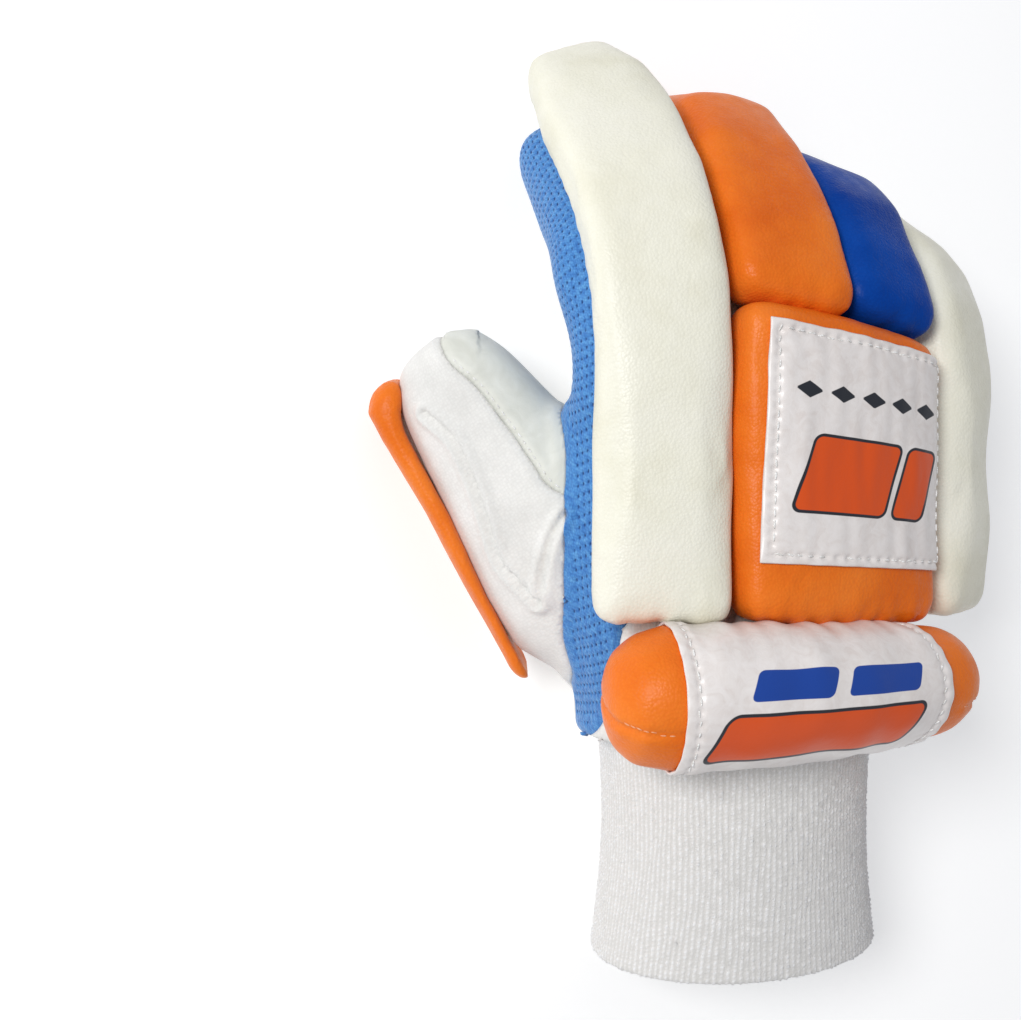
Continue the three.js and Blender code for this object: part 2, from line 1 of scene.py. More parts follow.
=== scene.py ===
# A right-hand cricket batting glove, lying palm down on a pale floor.
import math
from contextlib import contextmanager

import bmesh
import bpy
import numpy as np
from mathutils import Matrix, Vector
from mathutils.bvhtree import BVHTree
from mathutils.kdtree import KDTree


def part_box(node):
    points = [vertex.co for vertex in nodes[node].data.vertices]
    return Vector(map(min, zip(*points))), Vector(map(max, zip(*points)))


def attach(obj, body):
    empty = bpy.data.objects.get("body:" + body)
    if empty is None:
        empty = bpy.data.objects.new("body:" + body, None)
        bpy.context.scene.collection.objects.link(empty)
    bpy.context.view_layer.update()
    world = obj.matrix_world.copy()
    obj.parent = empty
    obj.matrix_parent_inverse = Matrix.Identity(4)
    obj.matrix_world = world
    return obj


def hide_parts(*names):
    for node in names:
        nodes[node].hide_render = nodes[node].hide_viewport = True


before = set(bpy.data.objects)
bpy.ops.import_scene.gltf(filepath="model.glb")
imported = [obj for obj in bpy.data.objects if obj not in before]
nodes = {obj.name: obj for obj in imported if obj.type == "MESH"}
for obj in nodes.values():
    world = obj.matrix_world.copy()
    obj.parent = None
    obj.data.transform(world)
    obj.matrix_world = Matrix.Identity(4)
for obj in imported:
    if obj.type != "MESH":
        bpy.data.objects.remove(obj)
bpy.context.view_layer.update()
bpy.ops.object.select_all(action="DESELECT")
scene = bpy.context.scene
chance = np.random.default_rng(11)
mm = 0.001
spineSteps = 160
chunk = 20000  # points measured at a time

# The glove's own lines, in millimetres from the wrist seam, as its solids were made
glove = {
    "shift": (9.66, -70.304, 0.0),  # from there to the shared origin
    "backLength": 120.2, "backRise": 4.6, "backHeight": 72.0, "archRadius": 130.0, "spacing": 32.0,
    "padStart": 37.1, "overhang": 15.0, "sleeveDepth": 28.0, "webAlong": 104.0, "handMiddle": 7.6,
}
block = {"middle": 15.6, "width": 62.9, "radius": 160.0, "skew": 9.9}
roll = {"middle": 2.7, "length": 104.4, "radius": 19.6, "taper": 0.81, "along": 17.4, "seat": 0.86}
cuff = {"middle": 8.0, "length": 72.0, "width": 89.0, "depth": 63.0, "wall": 3.6, "tuck": 4.0, "round": 38.0,
        "pitch": 7.5, "yaw": 2.5}
thumb = {"depth": 32.0, "nailFaces": (-0.86, -0.1, -0.5),
         "stations": ((-0.6, 0.02, 1.24), (-1.14, 1.12, 1.1), (-1.72, 2.1, 0.95), (-2.2, 2.94, 0.8),
                      (-2.48, 3.46, 0.73))}
# Across in spacings, the sleeve's width, lean and splay in degrees, where it leaves the back, then the
# (length, slope) of each stretch
fingers = {
    "index": {"across": -1.075, "sleeve": 40.7, "lean": -1.9, "splay": -3.9, "split": 120.2,
              "stretches": ((33.6, 11.9), (28.0, 40.0), (30.8, 44.0), (15.0, 72.0))},
    "middle": {"across": 0.015, "sleeve": 31.9, "lean": -3.2, "splay": -0.5, "split": 121.4,
               "stretches": ((38.9, 25.3), (28.4, 43.4), (26.6, 85.0), (15.0, 100.0))},
    "ring": {"across": 0.994, "sleeve": 28.3, "lean": 4.4, "splay": 1.8, "split": 117.7,
             "stretches": ((32.6, 22.5), (26.6, 54.5), (25.2, 83.0), (15.0, 98.0))},
    "little": {"across": 2.05, "sleeve": 28.8, "lean": 10.0, "splay": 4.4, "split": 120.2,
               "stretches": ((15.4, 22.0), (23.4, 46.0), (23.2, 73.0), (15.0, 90.0))},
}


def unit(v):
    return v / np.maximum(np.linalg.norm(v, axis=-1, keepdims=True), 1e-9)


def hump(x, at, width):  # 1 at a place, falling to 0 on both sides of it
    return np.exp(-((x - at) / width) ** 2)


def nearestOn(line, points):  # which place of a line is nearest to each point, and how far off it is
    near = np.zeros(len(points), int)
    away = np.zeros(len(points))
    for start in range(0, len(points), chunk):
        part = slice(start, start + chunk)
        squares = ((points[part, None, :] - line[None]) ** 2).sum(-1)
        near[part] = squares.argmin(1)
        away[part] = np.sqrt(squares.min(1))
    return near, away


def smoothLine(points, count):  # evenly spaced points on a smooth line through a few
    points = [np.array(p, float) for p in points]
    ends = [2 * points[0] - points[1], *points, 2 * points[-1] - points[-2]]
    fine = []
    t = np.linspace(0, 1, 60, endpoint=False)[:, None]
    for p0, p1, p2, p3 in zip(ends, ends[1:], ends[2:], ends[3:]):
        d0, d1, d2 = (math.sqrt(np.linalg.norm(b - a)) for a, b in ((p0, p1), (p1, p2), (p2, p3)))
        m1 = ((p1 - p0) / d0 - (p2 - p0) / (d0 + d1) + (p2 - p1) / d1) * d1
        m2 = ((p2 - p1) / d1 - (p3 - p1) / (d1 + d2) + (p3 - p2) / d2) * d1
        fine.append((2 * t**3 - 3 * t**2 + 1) * p1 + (t**3 - 2 * t**2 + t) * m1
                    + (3 * t**2 - 2 * t**3) * p2 + (t**3 - t**2) * m2)
    fine = np.vstack([*fine, points[-1]])
    gone = np.concatenate([[0], np.cumsum(np.linalg.norm(np.diff(fine, axis=0), axis=1))])
    at = np.linspace(0, gone[-1], count)
    return np.column_stack([np.interp(at, gone, fine[:, k]) for k in range(3)]), gone[-1]


def backPlace(along, across, up):  # the arched back of the hand
    along, across, up = np.broadcast_arrays(along, across, up)
    turn = across / glove["archRadius"]
    crest = glove["backHeight"] + glove["backRise"] * along / glove["backLength"]
    r = glove["archRadius"] + up
    return np.stack([r * np.sin(turn), along, crest - glove["archRadius"] + r * np.cos(turn)], axis=-1)


def backMeasure(points):
    crest = glove["backHeight"] + glove["backRise"] * points[:, 1] / glove["backLength"]
    x, z = points[:, 0], points[:, 2] - crest + glove["archRadius"]
    return points[:, 1], np.arctan2(x, z) * glove["archRadius"], np.hypot(x, z) - glove["archRadius"]


def spineThrough(points, normal=None, facing=None):  # a line with a frame at each of its points
    line, length = smoothLine(points, spineSteps + 1)
    tangent = unit(np.gradient(line, axis=0))
    normals = []
    for t in tangent:
        n = np.array(facing if facing is not None else normal)
        normal = unit(n - n.dot(t) * t)
        normals.append(normal)
    normals = np.array(normals)
    return {"point": line, "tangent": tangent, "normal": normals, "side": np.cross(tangent, normals),
            "length": length}


def spinePlace(spine, along, across, up):
    along, across, up = np.broadcast_arrays(along, across, up)
    share = np.clip(along / spine["length"] * spineSteps, 0, spineSteps - 0.001)
    i = share.astype(int)
    f = (share - i)[..., None]
    mixed = {k: spine[k][i] * (1 - f) + spine[k][i + 1] * f for k in ("point", "side", "normal", "tangent")}
    past = (along - np.clip(along, 0, spine["length"]))[..., None]
    return (mixed["point"] + mixed["tangent"] * past + mixed["side"] * across[..., None]
            + mixed["normal"] * up[..., None])


def spineMeasure(spine, points):  # along, across and up of each point
    step = spine["length"] / spineSteps
    near = nearestOn(spine["point"], points)[0]
    away = points - spine["point"][near]
    return (near * step + (away * spine["tangent"][near]).sum(1), (away * spine["side"][near]).sum(1),
            (away * spine["normal"][near]).sum(1))


def fingerSpine(name):
    f = fingers[name]
    middle = f["across"] * glove["spacing"]
    points = [backPlace(s * f["split"], middle, 0.0) for s in (0, 0.25, 0.5, 0.75, 1)]
    lean, splay = math.radians(f["lean"]), math.radians(f["splay"])
    down = np.array([-math.sin(lean), 0, -math.cos(lean)])
    out = np.array([math.sin(splay), math.cos(splay), 0])
    for length, slope in f["stretches"]:
        fall = math.radians(slope)
        points.append(points[-1] + length * (out * math.cos(fall) + down * math.sin(fall)))
    return spineThrough(points, normal=unit(backPlace(0.0, middle, 1.0) - backPlace(0.0, middle, 0.0)))


for name in fingers:
    fingers[name]["spine"] = fingerSpine(name)
thumb["spine"] = spineThrough([np.array(s) * thumb["depth"] for s in thumb["stations"]],
                              facing=unit(np.array(thumb["nailFaces"])))


def blockPlace(along, across, up):
    along, across, up = np.broadcast_arrays(along, across, up)
    share = np.clip((along - glove["padStart"]) / (glove["backLength"] - glove["padStart"]), 0, 1)
    y = along - (0.3 + 0.7 * share) * block["skew"] * across / block["width"]
    tilt = block["middle"] / glove["archRadius"]
    turn = tilt + across / block["radius"]
    base = backPlace(y, block["middle"], 0.0)
    r = block["radius"] + up
    way = np.stack([r * np.sin(turn), 0 * y, r * np.cos(turn)], axis=-1)
    return base + way - block["radius"] * np.array([math.sin(tilt), 0, math.cos(tilt)])


def rollPlace(along, angle, up):
    along, angle, up = np.broadcast_arrays(along, angle, up)
    share = np.clip((along - roll["middle"]) / roll["length"] + 0.5, 0, 1)
    r = roll["radius"] * (1 + (roll["taper"] - 1) * share) + up
    return backPlace(roll["along"] - r * np.cos(angle), along,
                     roll["seat"] * roll["radius"] + r * np.sin(angle))


def wristPlace(along, across, up):
    along, across, up = np.broadcast_arrays(along, across, up)
    pitch = math.radians(cuff["pitch"])
    return np.stack([cuff["middle"] + across - along * math.tan(math.radians(cuff["yaw"])),
                     along * math.cos(pitch) - up * math.sin(pitch),
                     glove["backHeight"] + along * math.sin(pitch) + up * math.cos(pitch)], axis=-1)


def wristMeasure(points):
    pitch = math.radians(cuff["pitch"])
    y, z = points[:, 1], points[:, 2] - glove["backHeight"]
    along = y * math.cos(pitch) + z * math.sin(pitch)
    up = z * math.cos(pitch) - y * math.sin(pitch)
    return along, points[:, 0] - cuff["middle"] + along * math.tan(math.radians(cuff["yaw"])), up


def cuffHalf(along):  # half the cuff's width, a little waisted
    share = np.clip(-along / cuff["length"], 0, 1)
    return cuff["width"] / 2 * (1 - 0.06 * np.sin(np.pi * share) + 0.07 * share)


def cuffPlace(along, angle, out):
    along, angle, out = np.broadcast_arrays(along, angle, out)
    up = np.sin(angle) * (cuff["depth"] / 2 + out) - cuff["depth"] / 2
    return wristPlace(along, np.cos(angle) * (cuffHalf(along) + out), up)


# Reading and writing meshes, in the glove's own millimetres
shift = np.array(glove["shift"])


def toScene(points):
    return (points + shift) * mm


def fromScene(points):
    return np.array(points) / mm - shift


def sceneVector(point):
    return Vector(toScene(point).tolist())


def coordinates(mesh):
    flat = np.empty(len(mesh.vertices) * 3)
    mesh.vertices.foreach_get("co", flat)
    return flat.reshape(-1, 3)


def pointsOf(piece):
    return fromScene(coordinates(piece.data))


def setPoints(piece, points):
    piece.data.vertices.foreach_set("co", toScene(points).ravel())
    piece.data.update()


def normalsOf(piece):
    flat = np.empty(len(piece.data.vertices) * 3)
    piece.data.vertex_normals.foreach_get("vector", flat)
    return flat.reshape(-1, 3)


def edgesOf(piece):
    flat = np.empty(len(piece.data.edges) * 2, int)
    piece.data.edges.foreach_get("vertices", flat)
    return flat.reshape(-1, 2)


def faceEdges(faces):  # the edges round each four-sided face, the lower vertex first
    return np.sort(np.stack([faces, np.roll(faces, -1, axis=1)], axis=2).reshape(-1, 2), axis=1)


def relaxed(points, edges, rounds, only=None, shrink=False):  # smoothed, all of them or only some
    degree = np.maximum(np.bincount(edges.ravel(), minlength=len(points)), 1)[:, None]
    weight = 1.0 if only is None else only[:, None] * 1.0
    first, second = edges[:, 0], edges[:, 1]
    for k in range(rounds * (1 if shrink else 2)):
        total = np.stack([np.bincount(first, points[second, i], len(points))
                          + np.bincount(second, points[first, i], len(points)) for i in range(3)], axis=1)
        points = points + (0.5 if shrink or k % 2 == 0 else -0.52) * (total / degree - points) * weight
    return points


def ripple(points, size, seed):  # a smooth random height, between about -1 and 1, with swells of one size
    made = np.zeros(len(points))
    ways = np.random.default_rng(seed)
    for _ in range(9):
        way = ways.normal(size=3)
        way /= np.linalg.norm(way)
        made += np.sin(points @ way * (2 * np.pi / (size * ways.uniform(0.75, 1.5))) + ways.uniform(0, 6.28))
    return made / 3


def pieceFrom(name, points, faces):
    mesh = bpy.data.meshes.new(name)
    mesh.from_pydata(toScene(np.asarray(points)).tolist(), [], faces)
    piece = bpy.data.objects.new(name, mesh)
    scene.collection.objects.link(piece)
    return piece


@contextmanager
def editing(piece):  # the piece's mesh, open for changes
    bm = bmesh.new()
    bm.from_mesh(piece.data)
    bm.verts.ensure_lookup_table()
    yield bm
    bm.to_mesh(piece.data)
    bm.free()


def copyOf(name, *nodeNames):  # the CAD nodes' triangles as one merged mesh
    piece = pieceFrom(name, np.zeros((0, 3)), [])
    with editing(piece) as bm:
        for nodeName in nodeNames:
            bm.from_mesh(nodes[nodeName].data)
        bmesh.ops.remove_doubles(bm, verts=bm.verts, dist=1e-6)
    return piece


def modify(piece, kind, **settings):  # adds a modifier and applies it
    modifier = piece.modifiers.new(kind.lower(), kind)
    for key, value in settings.items():
        setattr(modifier, key, value)
    bpy.context.view_layer.objects.active = piece
    bpy.ops.object.modifier_apply(modifier=modifier.name)


def treeOf(piece):
    mesh = piece.data
    return BVHTree.FromPolygons([v.co for v in mesh.vertices], [p.vertices for p in mesh.polygons])


def finishPiece(piece, material, slot, *replaced):
    piece.data.materials.clear()
    piece.data.materials.append(material)
    piece.data.shade_smooth()
    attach(piece, "root")
    if replaced:
        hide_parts(*replaced)


def setField(piece, name, *columns):  # a vector for each vertex, in millimetres, that materials can read
    field = piece.data.attributes.new(name, "FLOAT_VECTOR", "POINT")
    columns = list(columns) + [np.zeros(len(piece.data.vertices))] * (3 - len(columns))
    field.data.foreach_set("vector", np.stack(columns, axis=1).astype(np.float32).ravel())


# Materials
def linear(colour):  # sRGB hex to linear
    parts = [int(colour[k:k + 2], 16) / 255 for k in (1, 3, 5)]
    return tuple(c / 12.92 if c <= 0.04045 else ((c + 0.055) / 1.055) ** 2.4 for c in parts) + (1.0,)


def addNode(tree, kind, settings=None, links=None):
    node = tree.nodes.new("ShaderNode" + kind)
    for key, value in (settings or {}).items():
        if isinstance(key, str) and key[0].islower():
            setattr(node, key, value)
        else:
            node.inputs[key].default_value = value
    for key, socket in (links or {}).items():
        tree.links.new(socket, node.inputs[key])
    return node


def ramp(tree, factor, stops):
    node = addNode(tree, "ValToRGB", links={"Fac": factor})
    while len(node.color_ramp.elements) < len(stops):
        node.color_ramp.elements.new(0.5)
    for element, (place, value) in zip(node.color_ramp.elements, stops):
        element.position = place
        element.color = linear(value) if isinstance(value, str) else (value, value, value, 1)
    return node.outputs["Color"]


def objectPlace(tree):
    return addNode(tree, "TexCoord").outputs["Object"]


def fieldOf(tree, name):
    return addNode(tree, "Attribute", {"attribute_name": name}).outputs["Vector"]


def texture(tree, kind, where, scale, settings=None):  # a noise's factor, a Voronoi pattern's distance
    node = addNode(tree, "Tex" + kind, {"Scale": scale, **(settings or {})}, {"Vector": where})
    return node.outputs["Distance" if kind == "Voronoi" else "Fac"]


def graded(tree, value, low, high, first=0.0, last=1.0):
    settings = {"From Min": low, "From Max": high, "To Min": first, "To Max": last}
    return addNode(tree, "MapRange", settings, {"Value": value}).outputs["Result"]


def inked(tree, factor, under, colour, blend="MIX"):
    settings = {"data_type": "RGBA", "blend_type": blend, 7: linear(colour)}
    return addNode(tree, "Mix", settings, {0: factor, 6: under}).outputs[2]


def bumped(tree, height, strength, distance, under=None, invert=False):  # the distance in millimetres
    links = {"Height": height}
    if under is not None:
        links["Normal"] = under
    settings = {"Strength": strength, "Distance": distance * mm, "invert": invert}
    return addNode(tree, "Bump", settings, links).outputs["Normal"]


def newMaterial(name, roughness, specular=0.5, coat=0.0, coatRoughness=0.3, sheen=0.0):
    material = bpy.data.materials.new(name)
    material.use_nodes = True
    tree = material.node_tree
    shader = tree.nodes["Principled BSDF"]
    settings = {"Roughness": roughness, "Specular IOR Level": specular, "IOR": 1.5, "Coat Weight": coat,
                "Coat Roughness": coatRoughness, "Sheen Weight": sheen, "Sheen Roughness": 0.5}
    for key, value in settings.items():
        shader.inputs[key].default_value = value
    return material, tree, shader


def wear(tree, shader, colour, normal):
    tree.links.new(colour, shader.inputs["Base Color"])
    tree.links.new(normal, shader.inputs["Normal"])


def coatedLeather(name, colour, deep, pale, shine):
    # Polyurethane-coated leather over foam: rolled smooth, a soft shine broken by a fine pebbled grain
    material, tree, shader = newMaterial(name, 0.4, specular=shine, coat=0.04, coatRoughness=0.25)
    where = objectPlace(tree)
    clouds = texture(tree, "Noise", where, 1 / (30 * mm), {"Detail": 3.0, "Roughness": 0.55})
    tint = ramp(tree, clouds, [(0.3, deep), (0.5, colour), (0.74, pale)])
    pebbles = texture(tree, "Voronoi", where, 1 / (0.85 * mm), {"Randomness": 0.9})
    lows = texture(tree, "Noise", where, 1 / (4 * mm), {"Detail": 2.0})
    # painted shade: the hollows of the pebbled grain are multiplied towards the deep colour
    tinted = inked(tree, graded(tree, pebbles, 0.2, 0.75, 0.0, 0.1), tint, deep, "MULTIPLY")
    tree.links.new(graded(tree, lows, 0.3, 0.7, 0.33, 0.46), shader.inputs["Roughness"])
    swell = bumped(tree, lows, 0.25, 0.6)
    wear(tree, shader, tinted, bumped(tree, pebbles, 0.65, 0.18, swell, invert=True))
    return material


def wornLeather(name, colour, deep, pale, crease, roughness, coat=0.0, depth=1.0):
    # Thin tanned leather: fine pores, and a net of soft creases, with painted shade along the creases and in the
    # hollows of its soft folds, and painted light on the folds' swells
    material, tree, shader = newMaterial(name, roughness, specular=0.4, coat=coat)
    where = objectPlace(tree)
    swirl = {"Scale": 1 / (crease * mm), "Detail": 4.0, "Roughness": 0.6, "Distortion": 1.2}
    warp = addNode(tree, "TexNoise", swirl, {"Vector": where})
    drift = addNode(tree, "Mix", {"data_type": "VECTOR", 0: 0.004}, {4: where, 5: warp.outputs["Color"]})
    creaseNet = texture(tree, "Voronoi", drift.outputs[1], 1 / (crease * 0.8 * mm), {"feature": "DISTANCE_TO_EDGE"})
    fine = texture(tree, "Noise", where, 1 / (0.6 * mm), {"Detail": 2.0})
    # painted light and shade: the folds' own noise, deep in their hollows and pale on their swells
    tint = ramp(tree, warp.outputs["Fac"], [(0.3, deep), (0.52, colour), (0.75, pale)])
    # painted shade along the creases
    tinted = inked(tree, graded(tree, creaseNet, 0.0, 0.12, 0.12 * depth, 0.0), tint, deep, "MULTIPLY")
    folds = bumped(tree, warp.outputs["Fac"], 0.35 * depth, 0.5)
    lines = bumped(tree, ramp(tree, creaseNet, [(0.0, 0.0), (0.16, 1.0)]), 0.3 * depth, 0.16, folds)
    wear(tree, shader, tinted, bumped(tree, fine, 0.25, 0.08, lines))
    return material, tree, shader, tinted


def cottonKnit(name):
    # Close single-jersey cotton: matt, in fine columns of loops, about twice their real size so that they show,
    # with painted shade between the loops
    material, tree, shader = newMaterial(name, 0.9, specular=0.2, sheen=0.25)
    where = fieldOf(tree, "cloth")
    columns = texture(tree, "Wave", where, 0.9, {"wave_type": "BANDS", "bands_direction": "Y",
                                                 "Distortion": 0.6, "Detail": 1.0, "Detail Scale": 2.0})
    loops = texture(tree, "Voronoi", where, 1.15, {"Randomness": 0.55})
    clouds = texture(tree, "Noise", where, 0.06, {"Detail": 4.0})
    tint = ramp(tree, clouds, [(0.3, "#e3e2de"), (0.55, "#eeede9"), (0.75, "#f4f3f0")])
    # painted shade in the hollows between the loops
    tinted = inked(tree, graded(tree, loops, 0.1, 0.7, 0.0, 0.16), tint, "#b9b7b2", "MULTIPLY")
    ribs = bumped(tree, columns, 0.25, 0.12)
    wear(tree, shader, tinted, bumped(tree, loops, 0.45, 0.22, ribs, invert=True))
    return material


airMesh = {"column": 2.2, "row": 3.0, "holeWide": 0.5, "holeLong": 0.85, "depth": 0.6, "border": 4.0,
           "slant": 0.35, "tip": 14.0}


def airMeshKnit(name):
    # Warp-knitted polyester mesh: bright yarn in fine columns with painted shade between its loops, and staggered
    # small holes, shallow dents painted dark blue as the shade inside them
    material, tree, shader = newMaterial(name, 0.75, specular=0.3, sheen=0.3)
    where = fieldOf(tree, "cloth")
    hole = addNode(tree, "SeparateXYZ", links={"Vector": where}).outputs["Z"]  # 1 in a hole's middle
    flat = addNode(tree, "Mapping", {"Scale": (0.7, 1.1, 0)}, {"Vector": where}).outputs["Vector"]
    loops = texture(tree, "Voronoi", flat, 1.5, {"Randomness": 0.5})
    clouds = texture(tree, "Noise", where, 0.5, {"Detail": 3.0})
    tint = ramp(tree, clouds, [(0.3, "#4284c8"), (0.5, "#5497d6"), (0.75, "#69abe0")])
    # painted shade between the yarn's loops
    yarn = inked(tree, graded(tree, loops, 0.15, 0.75, 0.0, 0.5), tint, "#2f6fb4", "MULTIPLY")
    # painted shade: each hole's dent coloured dark blue for the shadow inside it
    holed = inked(tree, graded(tree, hole, 0.35, 0.85), yarn, "#0b3068")
    wear(tree, shader, holed, bumped(tree, loops, 0.6, 0.25, invert=True))
    return material


def terryTowelling(name):
    # Looped cotton terry: matt white, loops in columns, with painted shade greying it between them and on the low
    # loops
    material, tree, shader = newMaterial(name, 0.95, specular=0.15, sheen=0.35)
    height = addNode(tree, "SeparateXYZ", links={"Vector": fieldOf(tree, "cloth")}).outputs["Z"]  # 1 on top
    # painted shade: the lower a loop, the greyer
    tint = ramp(tree, height, [(0.0, "#d9d7d2"), (0.25, "#eeece9"), (0.65, "#ffffff")])
    fluff = texture(tree, "Noise", objectPlace(tree), 1 / (0.55 * mm), {"Detail": 3.0, "Roughness": 0.7})
    wear(tree, shader, tint, bumped(tree, fluff, 0.8, 0.4))
    return material


def strapVinyl(name):
    # Calendered PVC on cloth: faint grain and a low gloss
    material, tree, shader = newMaterial(name, 0.4, specular=0.45, coat=0.1)
    where = objectPlace(tree)
    clouds = texture(tree, "Noise", where, 1 / (25 * mm), {"Detail": 3.0})
    grain = texture(tree, "Voronoi", where, 1 / (0.7 * mm))
    tint = ramp(tree, clouds, [(0.3, "#cbcbc9"), (0.6, "#dbdbd9")])
    wear(tree, shader, tint, bumped(tree, grain, 0.3, 0.06))
    return material


def polyesterThread(name, colour, pale="#ffffff"):
    # Twisted polyester sewing thread: a slight lustre across its plies, painted as noise streaks from its colour
    # to a paler one
    material, tree, shader = newMaterial(name, 0.55, specular=0.4, sheen=0.2)
    twist = texture(tree, "Noise", objectPlace(tree), 1 / (0.4 * mm), {"Detail": 1.0})
    wear(tree, shader, ramp(tree, twist, [(0.3, colour), (0.7, pale)]), bumped(tree, twist, 0.5, 0.1))
    return material


orangeLeather = coatedLeather("orange_coated_leather", "#ea761e", "#dd6614", "#f1832d", shine=0.16)
creamLeather = coatedLeather("cream_coated_leather", "#ebe9d9", "#e2dfcb", "#efede0", shine=0.26)
blueLeather = coatedLeather("blue_coated_leather", "#063f98", "#05358a", "#0b4aa8", shine=0.05)
gripLeather = wornLeather("grip_leather", "#dcddd4", "#d4d5cb", "#e3e4dc", 9.0, roughness=0.55, depth=0.35)[0]
cotton = cottonKnit("cotton_knit")
blueMesh = airMeshKnit("blue_air_mesh")
towelling = terryTowelling("terry_towelling")
vinyl = strapVinyl("strap_vinyl")
# white thread with a grey base, painted shade for its shadowed stitches
whiteThread = polyesterThread("white_thread", "#cbc8c1")
paleOrangeThread = polyesterThread("pale_orange_thread", "#e58f55", "#f3b98f")
print("materials made")

# The camera, fitted to the photograph, comes first because some creases are placed through it
camera = {"across": 31.9, "down": -1.06, "roll": 1.09, "target": (5.0, 70.0, 66.0), "distance": 402.4,
          "shownAt": (766.6, 502.5), "lens": 47.56, "picture": (1021, 1020)}


def addCamera():
    a, b, g = (math.radians(camera[k]) for k in ("across", "down", "roll"))
    width, height = camera["picture"]
    back = np.array([-math.sin(a) * math.cos(b), math.sin(b), math.cos(a) * math.cos(b)])
    place = np.array(camera["target"]) + back * camera["distance"]
    right = unit(np.cross(-back, [0.0, 1.0, 0.0]))
    upward = np.cross(right, -back)
    focal = camera["lens"] / 36 * width
    spot = unit(np.array([camera["shownAt"][0] - width / 2, height / 2 - camera["shownAt"][1], focal]))
    z = np.array([0.0, 0.0, 1.0])
    v = np.cross(spot, z)
    skew = np.array([[0, -v[2], v[1]], [v[2], 0, -v[0]], [-v[1], v[0], 0]])
    turn = np.eye(3) + skew + skew @ skew / (1 + spot.dot(z))
    twist = np.array([[math.cos(g), -math.sin(g), 0], [math.sin(g), math.cos(g), 0], [0, 0, 1]])
    axes = turn.T @ (twist @ np.array([right, upward, -back]))
    data = bpy.data.cameras.new("camera")
    data.lens, data.sensor_width = camera["lens"], 36
    data.clip_start, data.clip_end = 0.01, 20
    made = bpy.data.objects.new("camera", data)
    frameAxes = Matrix(np.column_stack([axes[0], axes[1], -axes[2]]).tolist()).to_4x4()
    made.matrix_world = Matrix.Translation(toScene(place).tolist()) @ frameAxes
    scene.collection.objects.link(made)
    scene.camera = made
    camera.update(place=place, axes=axes, focal=focal)


def pixelRay(px, py):  # the photograph's line of sight through a pixel, in the glove's millimetres
    width, height = camera["picture"]
    way = np.array([px - width / 2, height / 2 - py, camera["focal"]])
    return camera["place"], unit(way @ camera["axes"])


def pixelsOf(points):  # where the photograph shows each point
    seen = (points - camera["place"]) @ camera["axes"].T
    width, height = camera["picture"]
    px = width / 2 + camera["focal"] * seen[:, 0] / seen[:, 2]
    return px, height / 2 - camera["focal"] * seen[:, 1] / seen[:, 2]


def pixelPoints(pixels, tree):  # where those lines of sight first meet a surface
    found = []
    for px, py in pixels:
        place, way = pixelRay(px, py)
        hit = tree.ray_cast(sceneVector(place), Vector(way.tolist()))[0]
        if hit is not None:
            found.append(fromScene(hit))
    return np.array(found)


addCamera()


def nudged(points, nudges, reach=48.0):
    # moves what the photograph shows near a few pixels, by millimetres right and down
    px, py = pixelsOf(points)
    for x, y, right, down in nudges:
        near = np.exp(-((px - x) ** 2 + (py - y) ** 2) / reach ** 2)
        points = points + near[:, None] * (right * camera["axes"][0] - down * camera["axes"][1])
    return points


def leaned(points):
    # eases the thumb's root and outer side and the index finger's side towards the thumb, by millimetres
    px, py = pixelsOf(points)
    rows = np.clip((py - 460) / 200, 0, 1) * np.clip((740 - py) / 60, 0, 1)
    root = rows * np.clip((572 - px) / 24, 0, 1) * 6.0
    outer = np.interp(py, (432, 516, 600, 650), (436, 465, 517, 545))
    swing = np.interp(py, (390, 432, 470, 516, 600, 650, 700, 725), (0, 2.2, 3.8, 4.8, 7.4, 7.4, 3.8, 0))
    root += swing * np.clip((562 - px) / (562 - outer), 0, 1.25)
    side = hump(py, 272, 62) * np.clip((592 - px) / 22, 0, 1) * (px > 480) * 3.2
    return points - camera["axes"][0] * (root + side)[:, None]


# Padded pieces: remeshed, blown up as cloth, and smoothed
def blownUp(name, settings, *nodeNames):
    piece = copyOf(name, *nodeNames)
    modify(piece, "REMESH", mode="VOXEL", voxel_size=settings["voxel"] * mm)
    edges = edgesOf(piece)
    setPoints(piece, relaxed(pointsOf(piece), edges, settings["relax"], shrink=True))
    start = pointsOf(piece) - normalsOf(piece) * settings["shrink"]
    setPoints(piece, start)
    cloth = piece.modifiers.new("cloth", "CLOTH")
    cloth.settings.use_pressure = True
    cloth.settings.uniform_pressure_force = settings["pressure"]
    cloth.settings.effector_weights.gravity = 0
    cloth.settings.quality = 4
    cloth.point_cache.frame_end = 20
    for step in range(1, 21):
        scene.frame_set(step)
    moved = pointsOf(piece.evaluated_get(bpy.context.evaluated_depsgraph_get())) - start
    piece.modifiers.remove(cloth)
    scene.frame_set(1)
    far = np.linalg.norm(moved, axis=1, keepdims=True)
    moved *= np.minimum(1, settings["cap"] / np.maximum(far, 1e-6))
    setPoints(piece, relaxed(start + moved, edges, 2))
    modify(piece, "SUBSURF", levels=settings["levels"], render_levels=settings["levels"])
    return piece


